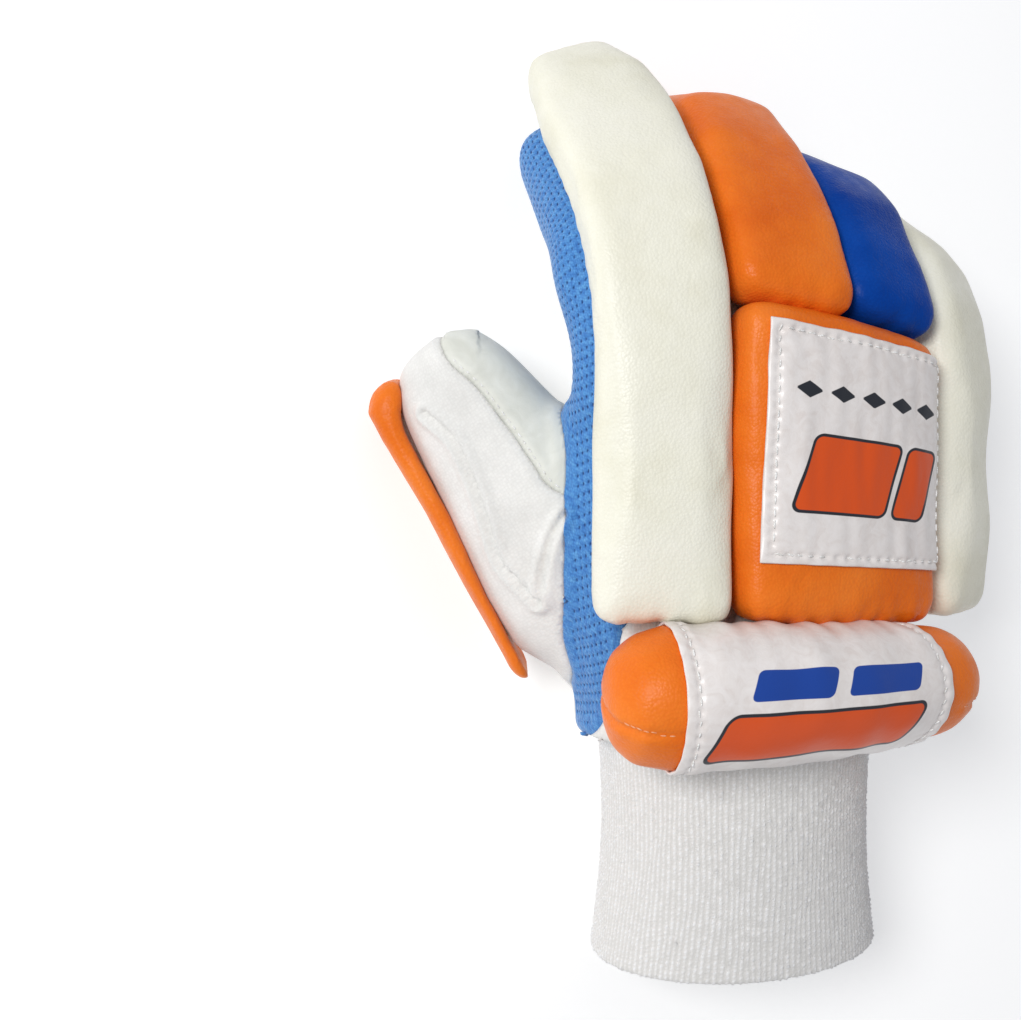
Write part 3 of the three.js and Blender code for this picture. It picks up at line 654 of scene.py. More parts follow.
padding = {
    "pad_index": {"material": creamLeather, "slot": "cream leather", "finger": "index", "seed": 3,
                  "nudges": [(645, 85, 1.8, -0.6), (530, 70, 1.2, 0.0), (592, 300, -0.8, 0.0),
                             (660, 622, 0.0, -1.2)]},
    "pad_middle": {"material": orangeLeather, "slot": "orange leather", "finger": "middle", "seed": 4,
                   "nudges": [(720, 98, 0.8, -2.2), (830, 215, 1.3, 0.0), (852, 295, 1.3, 0.4)]},
    "pad_ring": {"material": blueLeather, "slot": "blue leather", "finger": "ring", "seed": 5,
                 "nudges": [(925, 300, 2.6, 0.6), (885, 195, 1.6, -1.2)]},
    "pad_little": {"material": creamLeather, "slot": "cream leather", "finger": "little", "seed": 6,
                   "nudges": [(898, 212, 0.4, 3.4), (987, 400, 1.6, 0.0), (987, 520, 1.8, 0.0),
                              (950, 612, 0.0, 1.2)]},
}
padMake = {"voxel": 1.9, "relax": 3, "shrink": -0.5, "pressure": 4.0, "cap": 1.2, "levels": 1,
           "unevenness": 0.16, "pucker": 0.2, "puckerPitch": 6.5}
for nodeName, pad in padding.items():
    piece = blownUp(nodeName + "_leather", padMake, nodeName)
    points, normals = pointsOf(piece), normalsOf(piece)
    spine = fingers[pad["finger"]]["spine"]
    along, across, up = spineMeasure(spine, points)
    lift = padMake["unevenness"] * ripple(points, 30.0, pad["seed"])
    waves = np.sin(along * 2 * np.pi / padMake["puckerPitch"] + 2 * ripple(points, 25.0, pad["seed"] + 9))
    lift += padMake["pucker"] * hump(up, 1.0, 4.0) * waves
    start = glove["padStart"] if pad["finger"] in ("index", "little") else fingers[pad["finger"]]["split"]
    nearEnd = np.exp(-np.clip(along - start, 0, None) / 4.0)
    waves = np.sin(across * 2 * np.pi / 8.0 + 1.5 * ripple(points, 16.0, pad["seed"] + 4))
    lift += padMake["pucker"] * nearEnd * waves
    tipSide = np.clip((along - spine["length"] + 30) / 8, 0, 1) * np.clip((4 - up) / 4, 0, 1)
    lift += tipSide * (0.3 * hump(np.abs(across), 2.2, 1.6) - 0.7 * hump(across, 0, 0.8))
    setPoints(piece, nudged(points + normals * lift[:, None], pad["nudges"]))
    finishPiece(piece, pad["material"], pad["slot"], nodeName)
    pad["piece"] = piece
print("finger pads made")

blockMake = {**padMake, "reach": 1.4}
blockPiece = blownUp("block_leather", blockMake, "knuckle_block")
points, normals = pointsOf(blockPiece), normalsOf(blockPiece)
lift = 0.2 * ripple(points, 26.0, 21)
nearEnd = np.exp(-np.clip(points[:, 1] - glove["padStart"], 0, None) / 4.0)
lift += 0.3 * nearEnd * np.sin(points[:, 0] * 2 * np.pi / 7.5 + 2 * ripple(points, 20.0, 22))
points = points + normals * lift[:, None]
points[:, 1] -= blockMake["reach"] * np.clip(1 - (points[:, 1] - glove["padStart"]) / 25, 0, 1)
setPoints(blockPiece, points)
finishPiece(blockPiece, orangeLeather, "orange leather", "knuckle_block")

rollMake = {"voxel": 2.0, "relax": 4, "shrink": -0.5, "pressure": 4.0, "cap": 1.5, "levels": 1,
            "seam": math.radians(66)}
rollPiece = blownUp("wrist_roll_leather", rollMake, "wrist_roll")
rollEnds = (roll["middle"] - roll["length"] / 2, roll["middle"] + roll["length"] / 2)


def rollMeasure(points):
    y, along, up = backMeasure(points)
    across, high = roll["along"] - y, up - roll["seat"] * roll["radius"]
    return along, across, high


points, normals = pointsOf(rollPiece), normalsOf(rollPiece)
along, across, high = rollMeasure(points)
lift = 0.25 * ripple(points, 18.0, 31)
for end, sign in zip(rollEnds, (1, -1)):
    reach = np.clip((along - end) * sign, 0, None)
    nearTip = hump(reach, 0, 13.0)
    seam = across * math.sin(rollMake["seam"]) - high * math.cos(rollMake["seam"])  # off the end's own seam
    lift -= 1.1 * nearTip * hump(seam, 0, 0.9)
    lift += 0.35 * nearTip * hump(np.abs(seam), 2.6, 1.6)
    lift -= 0.3 * nearTip * np.abs(np.sin(along * sign * 0.55 + 0.6)) * hump(np.abs(seam), 2.0, 2.2)
setPoints(rollPiece, points + normals * lift[:, None])
finishPiece(rollPiece, orangeLeather, "orange leather", "wrist_roll")

# The guard's left edge and width as the photograph's pixels, row by row, and a pixel's size there
guardMake = {"voxel": 1.8, "relax": 4, "shrink": 0.4, "pressure": 4.0, "cap": 1.4, "levels": 1, "pixel": 0.3,
             "rows": (377, 413, 440, 516, 584, 654, 690),
             "left": (368, 366, 380, 425, 461, 500, 519), "wide": (28, 41, 40, 34, 27, 22, 18)}
guardPiece = blownUp("thumb_guard_leather", guardMake, "thumb_guard")
points, normals = pointsOf(guardPiece), normalsOf(guardPiece)
along, across, up = spineMeasure(thumb["spine"], points)
nearTip = np.exp(-np.clip(thumb["spine"]["length"] + 5 - along, 0, None) / 7.0)
lift = 0.2 * ripple(points, 22.0, 41) - 0.5 * nearTip * np.abs(np.sin(across * 2 * np.pi / 9.0 + 0.7))
points = nudged(points + normals * lift[:, None], [(392, 400, 1.2, -4.0)], reach=40.0)
points = nudged(points, [(530, 700, -1.5, -9.0)], reach=95.0)
px, py = pixelsOf(points)
rows = np.arange(py.min(), py.max() + 9, 9.0)
bands = [(py > row - 9) & (py < row + 9) for row in rows]
leftNow, rightNow = np.array([(px[band].min(), px[band].max()) for band in bands]).T
leftEdge, rightEdge = np.interp(py, rows, leftNow), np.interp(py, rows, rightNow)
share = (px - leftEdge) / (rightEdge - leftEdge + 0.1)
aim, wide = (np.interp(py, guardMake["rows"], guardMake[key]) for key in ("left", "wide"))
aim = aim + share * wide
inner = 0.5 - 0.5 * np.cos(np.pi * np.clip((py - 372) / 66, 0, 1))  # the end at the tip keeps its round
setPoints(guardPiece, points + camera["axes"][0] * ((aim - px) * inner * guardMake["pixel"])[:, None])
finishPiece(guardPiece, orangeLeather, "orange leather", "thumb_guard")
print("block, wrist roll and thumb guard made")

# The sewn hand: one smooth skin from all its panels, parted again along their seams
skin = {"voxel": 1.0, "relax": 36, "fill": 0.35, "wall": 1.4, "groove": 0.45, "grooveWidth": 0.9, "puff": 0.28}
panels = {
    **{nodeName: (cotton, "white cotton")
       for nodeName in ("backing", "palm", "front_middle", "front_ring", "front_little")},
    **{nodeName: (gripLeather, "palm leather") for nodeName in ("index_front", "thumb_pad")},
    "thumb_cover": (cotton, "white cotton"),
    **{"mesh_" + finger: (blueMesh, "blue mesh") for finger in fingers},
}
panelNames = list(panels)


def nearestPanels(centres):  # which CAD panel each point lies on
    best = np.full(len(centres), 1e9)
    label = np.zeros(len(centres), int)
    for k, nodeName in enumerate(panelNames):
        tree = treeOf(nodes[nodeName])
        low, high = (np.array(c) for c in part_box(nodeName))
        inside = np.all((centres > low - 0.003) & (centres < high + 0.003), axis=1)
        for i in np.nonzero(inside)[0]:
            far = tree.find_nearest(Vector(centres[i].tolist()), 0.004)[3]
            if far is not None and far < best[i]:
                best[i], label[i] = far, k
    return label


def keepLargest(bm):
    unseen = set(bm.verts)
    parts = []
    while unseen:
        part = [unseen.pop()]
        for v in part:
            for e in v.link_edges:
                w = e.other_vert(v)
                if w in unseen:
                    unseen.remove(w)
                    part.append(w)
        parts.append(part)
    parts.sort(key=len)
    bmesh.ops.delete(bm, geom=[v for part in parts[:-1] for v in part], context="VERTS")
    print("skin parts", [len(part) for part in parts[-4:]])


def hemisphere(way):  # ten ways out, spread about one
    side = unit(np.cross(way, (0.3, 0.5, 0.81)))
    other = np.cross(way, side)
    tilts = [(0.0, 0.0)] + [(0.62, k * 2 * np.pi / 4) for k in range(4)]
    tilts += [(1.15, (k + 0.5) * 2 * np.pi / 5) for k in range(5)]
    return [way * math.cos(t) + (side * math.cos(r) + other * math.sin(r)) * math.sin(t) for t, r in tilts]


def outerSkin():
    whole = copyOf("whole", *panelNames)
    with editing(whole) as bm:
        for v in bmesh.ops.create_cube(bm, size=1.0)["verts"]:  # a plug that shuts the wrist
            x, y, z = v.co
            across, up = x * (cuff["width"] - 2), z * (cuff["depth"] - 2) - cuff["depth"] / 2
            v.co = sceneVector(wristPlace(-2.5 + 2.0 * y, across, up))
    modify(whole, "REMESH", mode="VOXEL", voxel_size=1.6 * mm)
    tree = treeOf(whole)
    inner = []
    for v in whole.data.vertices:
        start = v.co + v.normal * 0.0005
        ways = hemisphere(np.array(v.normal))
        inner.append(all(tree.ray_cast(start, Vector(w.tolist()))[0] is not None for w in ways))
    inner = np.array(inner)
    edges = edgesOf(whole)
    degree = np.bincount(edges.ravel(), minlength=len(inner))
    for _ in range(4):
        share = np.bincount(edges.ravel(), inner[edges[:, ::-1].ravel()], len(inner)) / degree
        inner = np.where(share > 0.6, True, np.where(share < 0.4, False, inner))
    with editing(whole) as bm:
        bmesh.ops.delete(bm, geom=[v for v in bm.verts if inner[v.index]], context="VERTS")
        keepLargest(bm)
        bmesh.ops.holes_fill(bm, edges=[e for e in bm.edges if len(e.link_faces) == 1], sides=0)
        bmesh.ops.triangulate(bm, faces=[f for f in bm.faces if len(f.verts) > 4])
    modify(whole, "REMESH", mode="VOXEL", voxel_size=skin["voxel"] * mm)
    wristAlong = wristMeasure(pointsOf(whole))[0]
    with editing(whole) as bm:
        bmesh.ops.delete(bm, geom=[v for v in bm.verts if wristAlong[v.index] < -1.9], context="VERTS")
        keepLargest(bm)
    return whole


whole = outerSkin()
points, edges = pointsOf(whole), edgesOf(whole)
faceCount = len(whole.data.polygons)
flat = np.empty(faceCount * 4, int)
whole.data.polygons.foreach_get("vertices", flat)
quads = flat.reshape(-1, 4)
panelOf = nearestPanels(toScene(points)[quads].mean(axis=1))
quadEdges = faceEdges(quads)
edgeKeys = quadEdges[:, 0] * len(points) + quadEdges[:, 1]
order = np.argsort(edgeKeys, kind="stable")
sortedKeys = edgeKeys[order]
pairStart = np.nonzero(sortedKeys[1:] == sortedKeys[:-1])[0]
sharedEdges = quadEdges[order[pairStart]]
sides = np.stack([order[pairStart] // 4, order[pairStart + 1] // 4], axis=1)
for _ in range(3):  # stray faces join the panel round them
    votes = np.zeros((faceCount, len(panelNames)))
    np.add.at(votes, (sides[:, 0], panelOf[sides[:, 1]]), 1)
    np.add.at(votes, (sides[:, 1], panelOf[sides[:, 0]]), 1)
    panelOf = np.where(votes.max(1) >= 3, votes.argmax(1), panelOf)
edgeUse = np.bincount(np.searchsorted(np.unique(edgeKeys), edgeKeys))
rimKeys = np.unique(edgeKeys)[edgeUse == 1]
rimEdges = np.stack([rimKeys // len(points), rimKeys % len(points)], axis=1)
onRim = np.zeros(len(points), bool)
onRim[rimEdges.ravel()] = True
points = relaxed(points, rimEdges, 30, only=onRim, shrink=True)
points = relaxed(points, edges, skin["relax"], only=~onRim, shrink=True)
# Where the photograph shows a seam a little off the solids' own, its pixels say where it runs
setPoints(whole, points)
centres, facing = points[quads].mean(axis=1), normalsOf(whole)[quads].mean(axis=1)
shown = -(facing @ camera["axes"][2]) > 0.05
px, py = pixelsOf(centres)
leatherLine = np.interp(py, (330, 351, 382, 413, 452, 486, 497, 506), (418, 433, 472, 500, 528, 551, 565, 640))
isPanel = {nodeName: panelOf == k for k, nodeName in enumerate(panelNames)}
panelOf = np.where(shown & isPanel["thumb_pad"] & (px < leatherLine), panelNames.index("thumb_cover"), panelOf)
meshLeft = np.interp(py, (380, 450, 640, 675, 700, 740), (572, 566, 567, 573, 569, 567))
onThumb = isPanel["thumb_cover"] | isPanel["thumb_pad"] | isPanel["palm"]
inStrip = shown & onThumb & (px > meshLeft) & (px < 640) & (py > 400)
panelOf = np.where(inStrip, panelNames.index("mesh_index"), panelOf)
meshRight = np.interp(py, (60, 130, 300, 617, 619, 657, 682, 745), (600, 600, 640, 640, 627, 613, 599, 588))
panelOf = np.where(shown & isPanel["backing"] & (px < meshRight), panelNames.index("mesh_index"), panelOf)
inStrip = shown & (panelOf == panelNames.index("mesh_index"))
panelOf = np.where(inStrip & (py > 738 - 12 * ((px - 583) / 18) ** 2), panelNames.index("backing"), panelOf)
seamPairs = panelOf[sides]
seamMask = seamPairs[:, 0] != seamPairs[:, 1]
seamEdges = sharedEdges[seamMask]
onSeam = np.zeros(len(points), bool)
onSeam[seamEdges.ravel()] = True
points = relaxed(points, seamEdges, 26, only=onSeam & ~onRim, shrink=True)
points = relaxed(points, edges, 4, only=~onSeam & ~onRim, shrink=True)
setPoints(whole, points)
points = points + normalsOf(whole) * skin["fill"]
setPoints(whole, points)
wholeNormals = normalsOf(whole)


def seamDistance(where):
    return np.array([seamTree.find(p)[2] for p in where])


def seamLines(first, second):  # the ordered seams between two panels, as lists of vertex numbers
    pair = {panelNames.index(first), panelNames.index(second)}
    chosen = [e for e, p in zip(seamEdges.tolist(), seamPairs[seamMask].tolist()) if set(p) == pair]
    links = {}
    for a, b in chosen:
        links.setdefault(a, []).append(b)
        links.setdefault(b, []).append(a)
    lines = []
    while links:
        start = next((v for v, w in links.items() if len(w) == 1), next(iter(links)))
        line = [start]
        while links.get(line[-1]):
            step = links[line[-1]].pop(0)
            links[step].remove(line[-1])
            if not links[line[-1]]:
                del links[line[-1]]
            line.append(step)
        if not links.get(line[-1], True):
            del links[line[-1]]
        if len(line) > 8:
            lines.append(line)
    return lines


def crease(points, normals, path, depth, width, bulge, bulgeWidth):  # a fold line with a soft swell beside it
    away = nearestOn(smoothLine(path, 60)[0], points)[1]
    lift = bulge * hump(away, bulgeWidth, bulgeWidth * 0.6) - depth * hump(away, 0, width)
    return points + normals * lift[:, None]


points = leaned(points)
setPoints(whole, points)
sewnEdge = onSeam | onRim
seamTree = KDTree(int(sewnEdge.sum()))
for k in np.nonzero(sewnEdge)[0]:
    seamTree.insert(points[k], int(k))
seamTree.balance()
distance = seamDistance(points)
lift = skin["puff"] * hump(distance, 2.6, 1.5) - skin["groove"] * hump(distance, 0, skin["grooveWidth"])
lift += 0.12 * ripple(points, 24.0, 51)
points = points + wholeNormals * lift[:, None]
setPoints(whole, points)

# Folds that the camera sees, as the photograph's pixels, each with its depth, width, swell and swell width
folds = [
    {"pixels": [(394, 373), (425, 413), (453, 438), (472, 477), (486, 516), (500, 561), (517, 581),
                (540, 603)],
     "size": (1.6, 0.75, 1.3, 2.2)},
    {"pixels": [(565, 514), (554, 533), (546, 560), (542, 584), (540, 603)], "size": (1.3, 0.75, 1.1, 2.0)},
    {"pixels": [(519, 575), (508, 608), (512, 640), (530, 668)], "size": (0.4, 1.2, 0.3, 2.6)},
]
wholeTree = treeOf(whole)
for fold in folds:
    path = pixelPoints(fold["pixels"], wholeTree)
    if len(path) > 3:
        points = crease(points, wholeNormals, path, *fold["size"])
# Creases across the palm side, where the joints bend, then across the palm
for name in ("middle", "ring", "little", "index"):
    spine = fingers[name]["spine"]
    for share, depth in ((0.3, 0.9), (0.62, 1.1)):
        at = glove["webAlong"] + (spine["length"] - glove["overhang"] - glove["webAlong"]) * share
        half = fingers[name]["sleeve"] * 0.3
        path = spinePlace(spine, at + np.array([0.8, 0.0, -0.6, 0.0, 0.8]), np.linspace(-half, half, 5),
                          -glove["sleeveDepth"])
        points = crease(points, wholeNormals, list(path), depth, 1.3, 0.5, 3.4)
for along, bow in ((30.0, 9.0), (64.0, -8.0), (84.0, -5.0)):
    across = np.linspace(-34, 40, 7)
    path = backPlace(along + bow * np.cos(across / 26.0), glove["handMiddle"] + across, -38.0)
    points = crease(points, wholeNormals, list(path), 0.6, 1.3, 0.4, 3.6)
setPoints(whole, points)
print("skin smoothed, seams", int(seamMask.sum()))


def clothField(nodeName, where):  # along and round a panel, for its knit to follow
    if nodeName.startswith("mesh_") or nodeName.startswith("front_"):
        along, across, up = spineMeasure(fingers[nodeName.split("_")[1]]["spine"], where)
        return along + 0.7 * up, up + 0.75 * across  # never squeezed: not on its sides, its tip or its front
    if nodeName.startswith("thumb"):
        along, across, up = spineMeasure(thumb["spine"], where)
        return along, np.arctan2(across, up) * 16.0
    return where[:, 1], backMeasure(where)[1]


def holeField(along, around, seam):
    column = around / airMesh["column"]
    whichColumn = np.floor(column)
    row = along / airMesh["row"] + 0.5 * (whichColumn % 2)
    du = (column - whichColumn - 0.5) * airMesh["column"]
    dv = (row - np.floor(row) - 0.5) * airMesh["row"]
    hole = hump(du, airMesh["slant"] * dv, airMesh["holeWide"]) * hump(dv, 0, airMesh["holeLong"])
    return hole * np.clip((seam - airMesh["border"] * 0.6) / 1.0, 0, 1)


def awayFromTip(nodeName, where):  # 0 over a fingertip, where the mesh is stretched shut
    spine = fingers[nodeName.split("_")[1]]["spine"]
    return np.clip((spine["length"] - airMesh["tip"] - spineMeasure(spine, where)[0]) / 6, 0, 1)


def weaveOf(nodeName, where):  # along, around and how deep in a hole
    along, around = clothField(nodeName, where)
    if not nodeName.startswith("mesh_"):
        return along, around, np.zeros(len(where))
    return along, around, holeField(along, around, seamDistance(where)) * awayFromTip(nodeName, where)


pieces = {}
for k, nodeName in enumerate(panelNames):
    used, faces = np.unique(quads[panelOf == k], return_inverse=True)
    piece = pieceFrom(nodeName + "_panel", points[used], faces.reshape(-1, 4).tolist())
    if nodeName.startswith("mesh_"):
        modify(piece, "SUBSURF", levels=1, render_levels=1, boundary_smooth="ALL")
        where = pointsOf(piece)
        around, hole = weaveOf(nodeName, where)[1:]
        weave = 0.07 * np.sin(around * 2 * np.pi / 0.9) * (1 - hole)
        setPoints(piece, where + normalsOf(piece) * (weave - airMesh["depth"] * hole)[:, None])
    modify(piece, "SOLIDIFY", thickness=skin["wall"] * mm, offset=-1.0, use_rim=True)
    setField(piece, "cloth", *weaveOf(nodeName, pointsOf(piece)))
    finishPiece(piece, panels[nodeName][0], panels[nodeName][1], nodeName)
    pieces[nodeName] = piece


def seamPaths(first, second, aside, least=12.0):  # smooth lines beside two panels' seams
    towards = points[quads[panelOf == panelNames.index(first)]].mean(axis=1)
    paths = []
    for line in seamLines(first, second):
        steps = np.stack([np.arange(len(line) - 1), np.arange(1, len(line))], axis=1)
        path = relaxed(points[line], steps, 12, shrink=True)
        if np.linalg.norm(np.diff(path, axis=0), axis=1).sum() < least:
            continue
        sideways = unit(np.cross(np.gradient(path, axis=0), wholeNormals[line]))
        middle = len(path) // 2
        near = towards[np.argsort(((towards - path[middle]) ** 2).sum(1))[:12]].mean(axis=0) - path[middle]
        paths.append(path + sideways * aside * (1 if sideways[middle].dot(near) > 0 else -1))
    return paths


seamPlans = [("thumb_pad", "thumb_cover", 1.6), ("thumb_pad", "palm", 1.6), ("index_front", "mesh_index", 1.5),
             ("index_front", "palm", 1.5), ("front_middle", "mesh_middle", -1.0),
             ("front_ring", "mesh_ring", -1.0), ("front_little", "mesh_little", -1.0),
             ("palm", "mesh_little", -1.2)]
seamThreads = {plan: seamPaths(*plan) for plan in seamPlans}
palmFaces = quads[panelOf == panelNames.index("palm")]
palmPatchTree = treeOf(nodes["palm_patch"])
centres = points[palmFaces].mean(axis=1)
facing = wholeNormals[palmFaces].mean(axis=1)
under = []
for centre, way in zip(centres, facing):
    near = palmPatchTree.find_nearest(sceneVector(centre), 0.005)[0]
    away = fromScene(near) - centre if near is not None else np.full(3, 9.0)
    under.append(np.linalg.norm(away - way * away.dot(way)) < 0.7)
used, faces = np.unique(palmFaces[np.array(under)], return_inverse=True)
faces = faces.reshape(-1, 4)
palmPiece = pieceFrom("palm_patch_leather", points[used], faces.tolist())
palmEdges, uses = np.unique(faceEdges(faces), axis=0, return_counts=True)
border = palmEdges[uses == 1]
onBorder = np.zeros(len(used), bool)
onBorder[border.ravel()] = True
patchPoints = relaxed(points[used], border, 40, only=onBorder, shrink=True)
patchPoints = relaxed(patchPoints, palmEdges, 8, only=~onBorder, shrink=True)
setPoints(palmPiece, patchPoints)
palmFacing = normalsOf(palmPiece)
links = {}
for one, other in border.tolist():
    links.setdefault(one, []).append(other)
    links.setdefault(other, []).append(one)
loop = [border[0][0], links[border[0][0]][0]]
while loop[-1] != loop[0] and len(loop) <= len(border):
    loop.append(next((v for v in links[loop[-1]] if v != loop[-2]), loop[0]))
palmLine = patchPoints[loop]
sideways = unit(np.cross(np.gradient(palmLine, axis=0), palmFacing[loop]))
outwards = np.sign(((palmLine - palmLine.mean(axis=0)) * sideways).sum(1).mean())
palmLine = palmLine - sideways * outwards * 2.6 + palmFacing[loop] * 1.5
modify(palmPiece, "SUBSURF", levels=1, render_levels=1)
patchPoints = pointsOf(palmPiece)
lift = 1.25 + 0.14 * ripple(patchPoints * (1, 0.5, 1), 9.0, 81)
setPoints(palmPiece, patchPoints + normalsOf(palmPiece) * lift[:, None])
modify(palmPiece, "SOLIDIFY", thickness=1.0 * mm, offset=-1.0, use_rim=True)
finishPiece(palmPiece, gripLeather, "palm leather", "palm_patch")
bpy.data.objects.remove(whole)
print("hand panels made")

# The terry cuff: a grid wound into a double-walled tube, its loops raised in columns
terry = {"columns": 150, "rows": 50, "perLoop": 3, "height": 0.7, "jitter": 0.16, "inner": 40, "rimRound": 1.6}


def newGrid(name, across, down):  # a flat grid, and how far across and down it each vertex is
    bpy.ops.mesh.primitive_grid_add(x_subdivisions=across, y_subdivisions=down, size=1)
    piece = bpy.context.active_object
    piece.name = name
    return piece, coordinates(piece.data)[:, :2] + 0.5


def terryCuff():
    per, columns, mouth = terry["perLoop"], terry["columns"], -cuff["length"] + terry["rimRound"]
    around, outer = columns * per, terry["rows"] * per
    turn = np.linspace(0, np.pi, 9)[1:-1]
    middle = -cuff["wall"] / 2
    profileAlong = np.concatenate([np.linspace(cuff["tuck"], mouth, outer),
                                   mouth - np.sin(turn) * terry["rimRound"],
                                   np.linspace(mouth, cuff["tuck"], terry["inner"])])
    profileOut = np.concatenate([np.zeros(outer), middle + np.cos(turn) * cuff["wall"] / 2,
                                 np.full(terry["inner"], -cuff["wall"])])
    piece, shares = newGrid("cuff_towelling", around, len(profileAlong) - 1)
    column = np.rint(shares[:, 0] * around).astype(int) % around
    row = np.rint(shares[:, 1] * (len(profileAlong) - 1)).astype(int)
    angle = column / around * 2 * np.pi
    whichColumn = column // per
    slide = chance.integers(0, per, columns)[whichColumn]
    whichRow = (row + slide) // per
    crest = column % per == 1
    tall = chance.uniform(0.35, 1.0, (200, columns))[whichRow, whichColumn]
    loops = np.where(crest & ((row + slide) % per == 1), tall, np.where(crest, 0.38 * tall, 0.1 * tall))
    inside = profileOut[row] < middle
    along = profileAlong[row]
    wave = 0.35 * np.sin(angle * 3 + 1.0) * np.clip(-along / cuff["length"], 0, 1)
    out = profileOut[row] + np.where(inside, -0.5, 1) * loops * terry["height"] + wave
    sway = chance.normal(0, terry["jitter"], (2, 200, columns))[:, whichRow, whichColumn] * crest
    drift = 0.3 * np.sin(along / 9.0 + 3 * np.sin(angle * 5)) + 0.1 * np.sin(along / 2.9 + angle * 23)
    points = cuffPlace(along + sway[0], angle + (sway[1] + drift) / cuff["round"], out)
    points[:, 2] = np.maximum(points[:, 2], 0.4)
    setPoints(piece, points)
    setField(piece, "cloth", along, angle * cuff["round"], loops)
    with editing(piece) as bm:
        bmesh.ops.remove_doubles(bm, verts=bm.verts, dist=1e-5)
        bmesh.ops.bridge_loops(bm, edges=[e for e in bm.edges if len(e.link_faces) == 1])
        bmesh.ops.recalc_face_normals(bm, faces=bm.faces)
    return piece


cuffPiece = terryCuff()
finishPiece(cuffPiece, towelling, "towelling", "cuff")
print("cuff made")

# Thread: one small stitch, copied along each seam
stitch = {"long": 2.3, "thick": 0.62, "pitch": 3.3}


def spaced(path, pitch, start=0.5):  # evenly spaced places along a path, and its direction there
    path = np.asarray(path)
    gone = np.concatenate([[0], np.cumsum(np.linalg.norm(np.diff(path, axis=0), axis=1))])
    at = np.arange(pitch * start, gone[-1] - pitch * 0.3, pitch)
    places, ahead, behind = (np.column_stack([np.interp(at + step, gone, path[:, k]) for k in range(3)])
                             for step in (0, 0.6, -0.6))
    return places, unit(ahead - behind)


def seatedOn(tree, places):  # the nearest points of a surface, and which way it faces there
    found = [tree.find_nearest(Vector(p.tolist()))[:2] for p in toScene(np.asarray(places))]
    return fromScene([f[0] for f in found]), np.array([f[1] for f in found])


def sewn(name, tree, paths, slotName, lift=0.12, scale=1.0, pitch=None, thread=whiteThread):
    bpy.ops.mesh.primitive_uv_sphere_add(segments=7, ring_count=5, radius=0.5)
    template = bpy.context.active_object
    shape = coordinates(template.data) * (stitch["thick"], stitch["thick"] * 0.8, stitch["long"])
    faces = [list(p.vertices) for p in template.data.polygons]
    bpy.data.objects.remove(template)
    points, allFaces = [], []
    for path in paths:
        places, ways = spaced(path, pitch or stitch["pitch"])
        if not len(places):
            continue
        seats, facing = seatedOn(tree, places)
        ways = unit(ways - facing * (ways * facing).sum(1)[:, None])
        for seat, way, face in zip(seats, ways, facing):
            side = np.cross(face, way)
            way = unit(way + side * chance.normal(0, 0.07))
            grown = shape * scale * chance.uniform(0.88, 1.08)
            start = len(points) * len(shape)
            points.append(seat + face * lift + grown[:, :1] * np.cross(face, way) + grown[:, 1:2] * face
                          + grown[:, 2:] * way)
            allFaces += [[v + start for v in f] for f in faces]
    piece = pieceFrom(name, np.vstack(points), allFaces)
    finishPiece(piece, thread, slotName)


def boxDistance(u, v, centre, half, radius, lean=0.0):  # below 0 inside a rounded box
    du = np.abs(u - centre[0] - lean * (v - centre[1])) - (half[0] - radius)
    dv = np.abs(v - centre[1]) - (half[1] - radius)
    return np.hypot(np.maximum(du, 0), np.maximum(dv, 0)) + np.minimum(np.maximum(du, dv), 0) - radius


def lozengeDistance(u, v, centre, half):
    outside = np.abs(u - centre[0]) / half[0] + np.abs(v - centre[1]) / half[1] - 1
    return outside * half[0] * half[1] / math.hypot(*half)


def printedLeather(name, colour, deep, pale):
    # Thin glossy leather with screen-printed shapes: its field holds the distance to each ink's edge
    # its base colour keeps the leather's painted shade in the creases and fold hollows, and painted light on the
    # swells
    material, tree, shader, layer = wornLeather(name, colour, deep, pale, 4.5, 0.34, coat=0.2, depth=0.3)
    fields = addNode(tree, "SeparateXYZ", links={"Vector": fieldOf(tree, "print")}).outputs
    inks = {"dark": "#20242c", "orange": "#da4f0a", "blue": "#0b3f98"}
    for channel, edge, ink in (("X", 0.85, "dark"), ("X", 0.0, "orange"), ("Y", 0.0, "dark"), ("Z", 0.0, "blue")):
        layer = inked(tree, graded(tree, fields[channel], edge + 0.08, edge - 0.08), layer, inks[ink])
    tree.links.new(layer, shader.inputs["Base Color"])
    return material


whiteLeather = printedLeather("white_printed_leather", "#e7e1dd", "#e0d8d3", "#ece7e4")


def leatherGrid(name, place, tree, first, second, step, height, reach=(14.0, -8.0)):
    # a leather sheet draped over a padded piece: a grid, cast onto it and then raised
    across, down = (int(round((span[2] if len(span) > 2 else span[1] - span[0]) / step))
                    for span in (first, second))
    piece, share = newGrid(name, across, down)
    a = first[0] + share[:, 0] * (first[1] - first[0])
    b = second[0] + share[:, 1] * (second[1] - second[0])
    above, below = place(a, b, reach[0]), place(a, b, reach[1])
    points = []
    for start, end in zip(toScene(above), toScene(below)):
        hit = tree.ray_cast(Vector(start.tolist()), Vector((end - start).tolist()).normalized())[0]
        points.append(hit if hit is not None else tree.find_nearest(Vector(start.tolist()))[0])
    setPoints(piece, relaxed(fromScene(points), edgesOf(piece), 4, shrink=True))
    if (normalsOf(piece) * (above - below)).sum() < 0:
        piece.data.flip_normals()
    setPoints(piece, pointsOf(piece) + normalsOf(piece) * height(a, b)[:, None])
    return piece, a, b


patch = {"across": (-26.4, 33.0), "along": (51.0, 115.6), "wall": 1.0, "stitchIn": 2.6, "step": 0.5,
         "crinkle": 0.4, "lean": 2.4}
blockTree = treeOf(blockPiece)


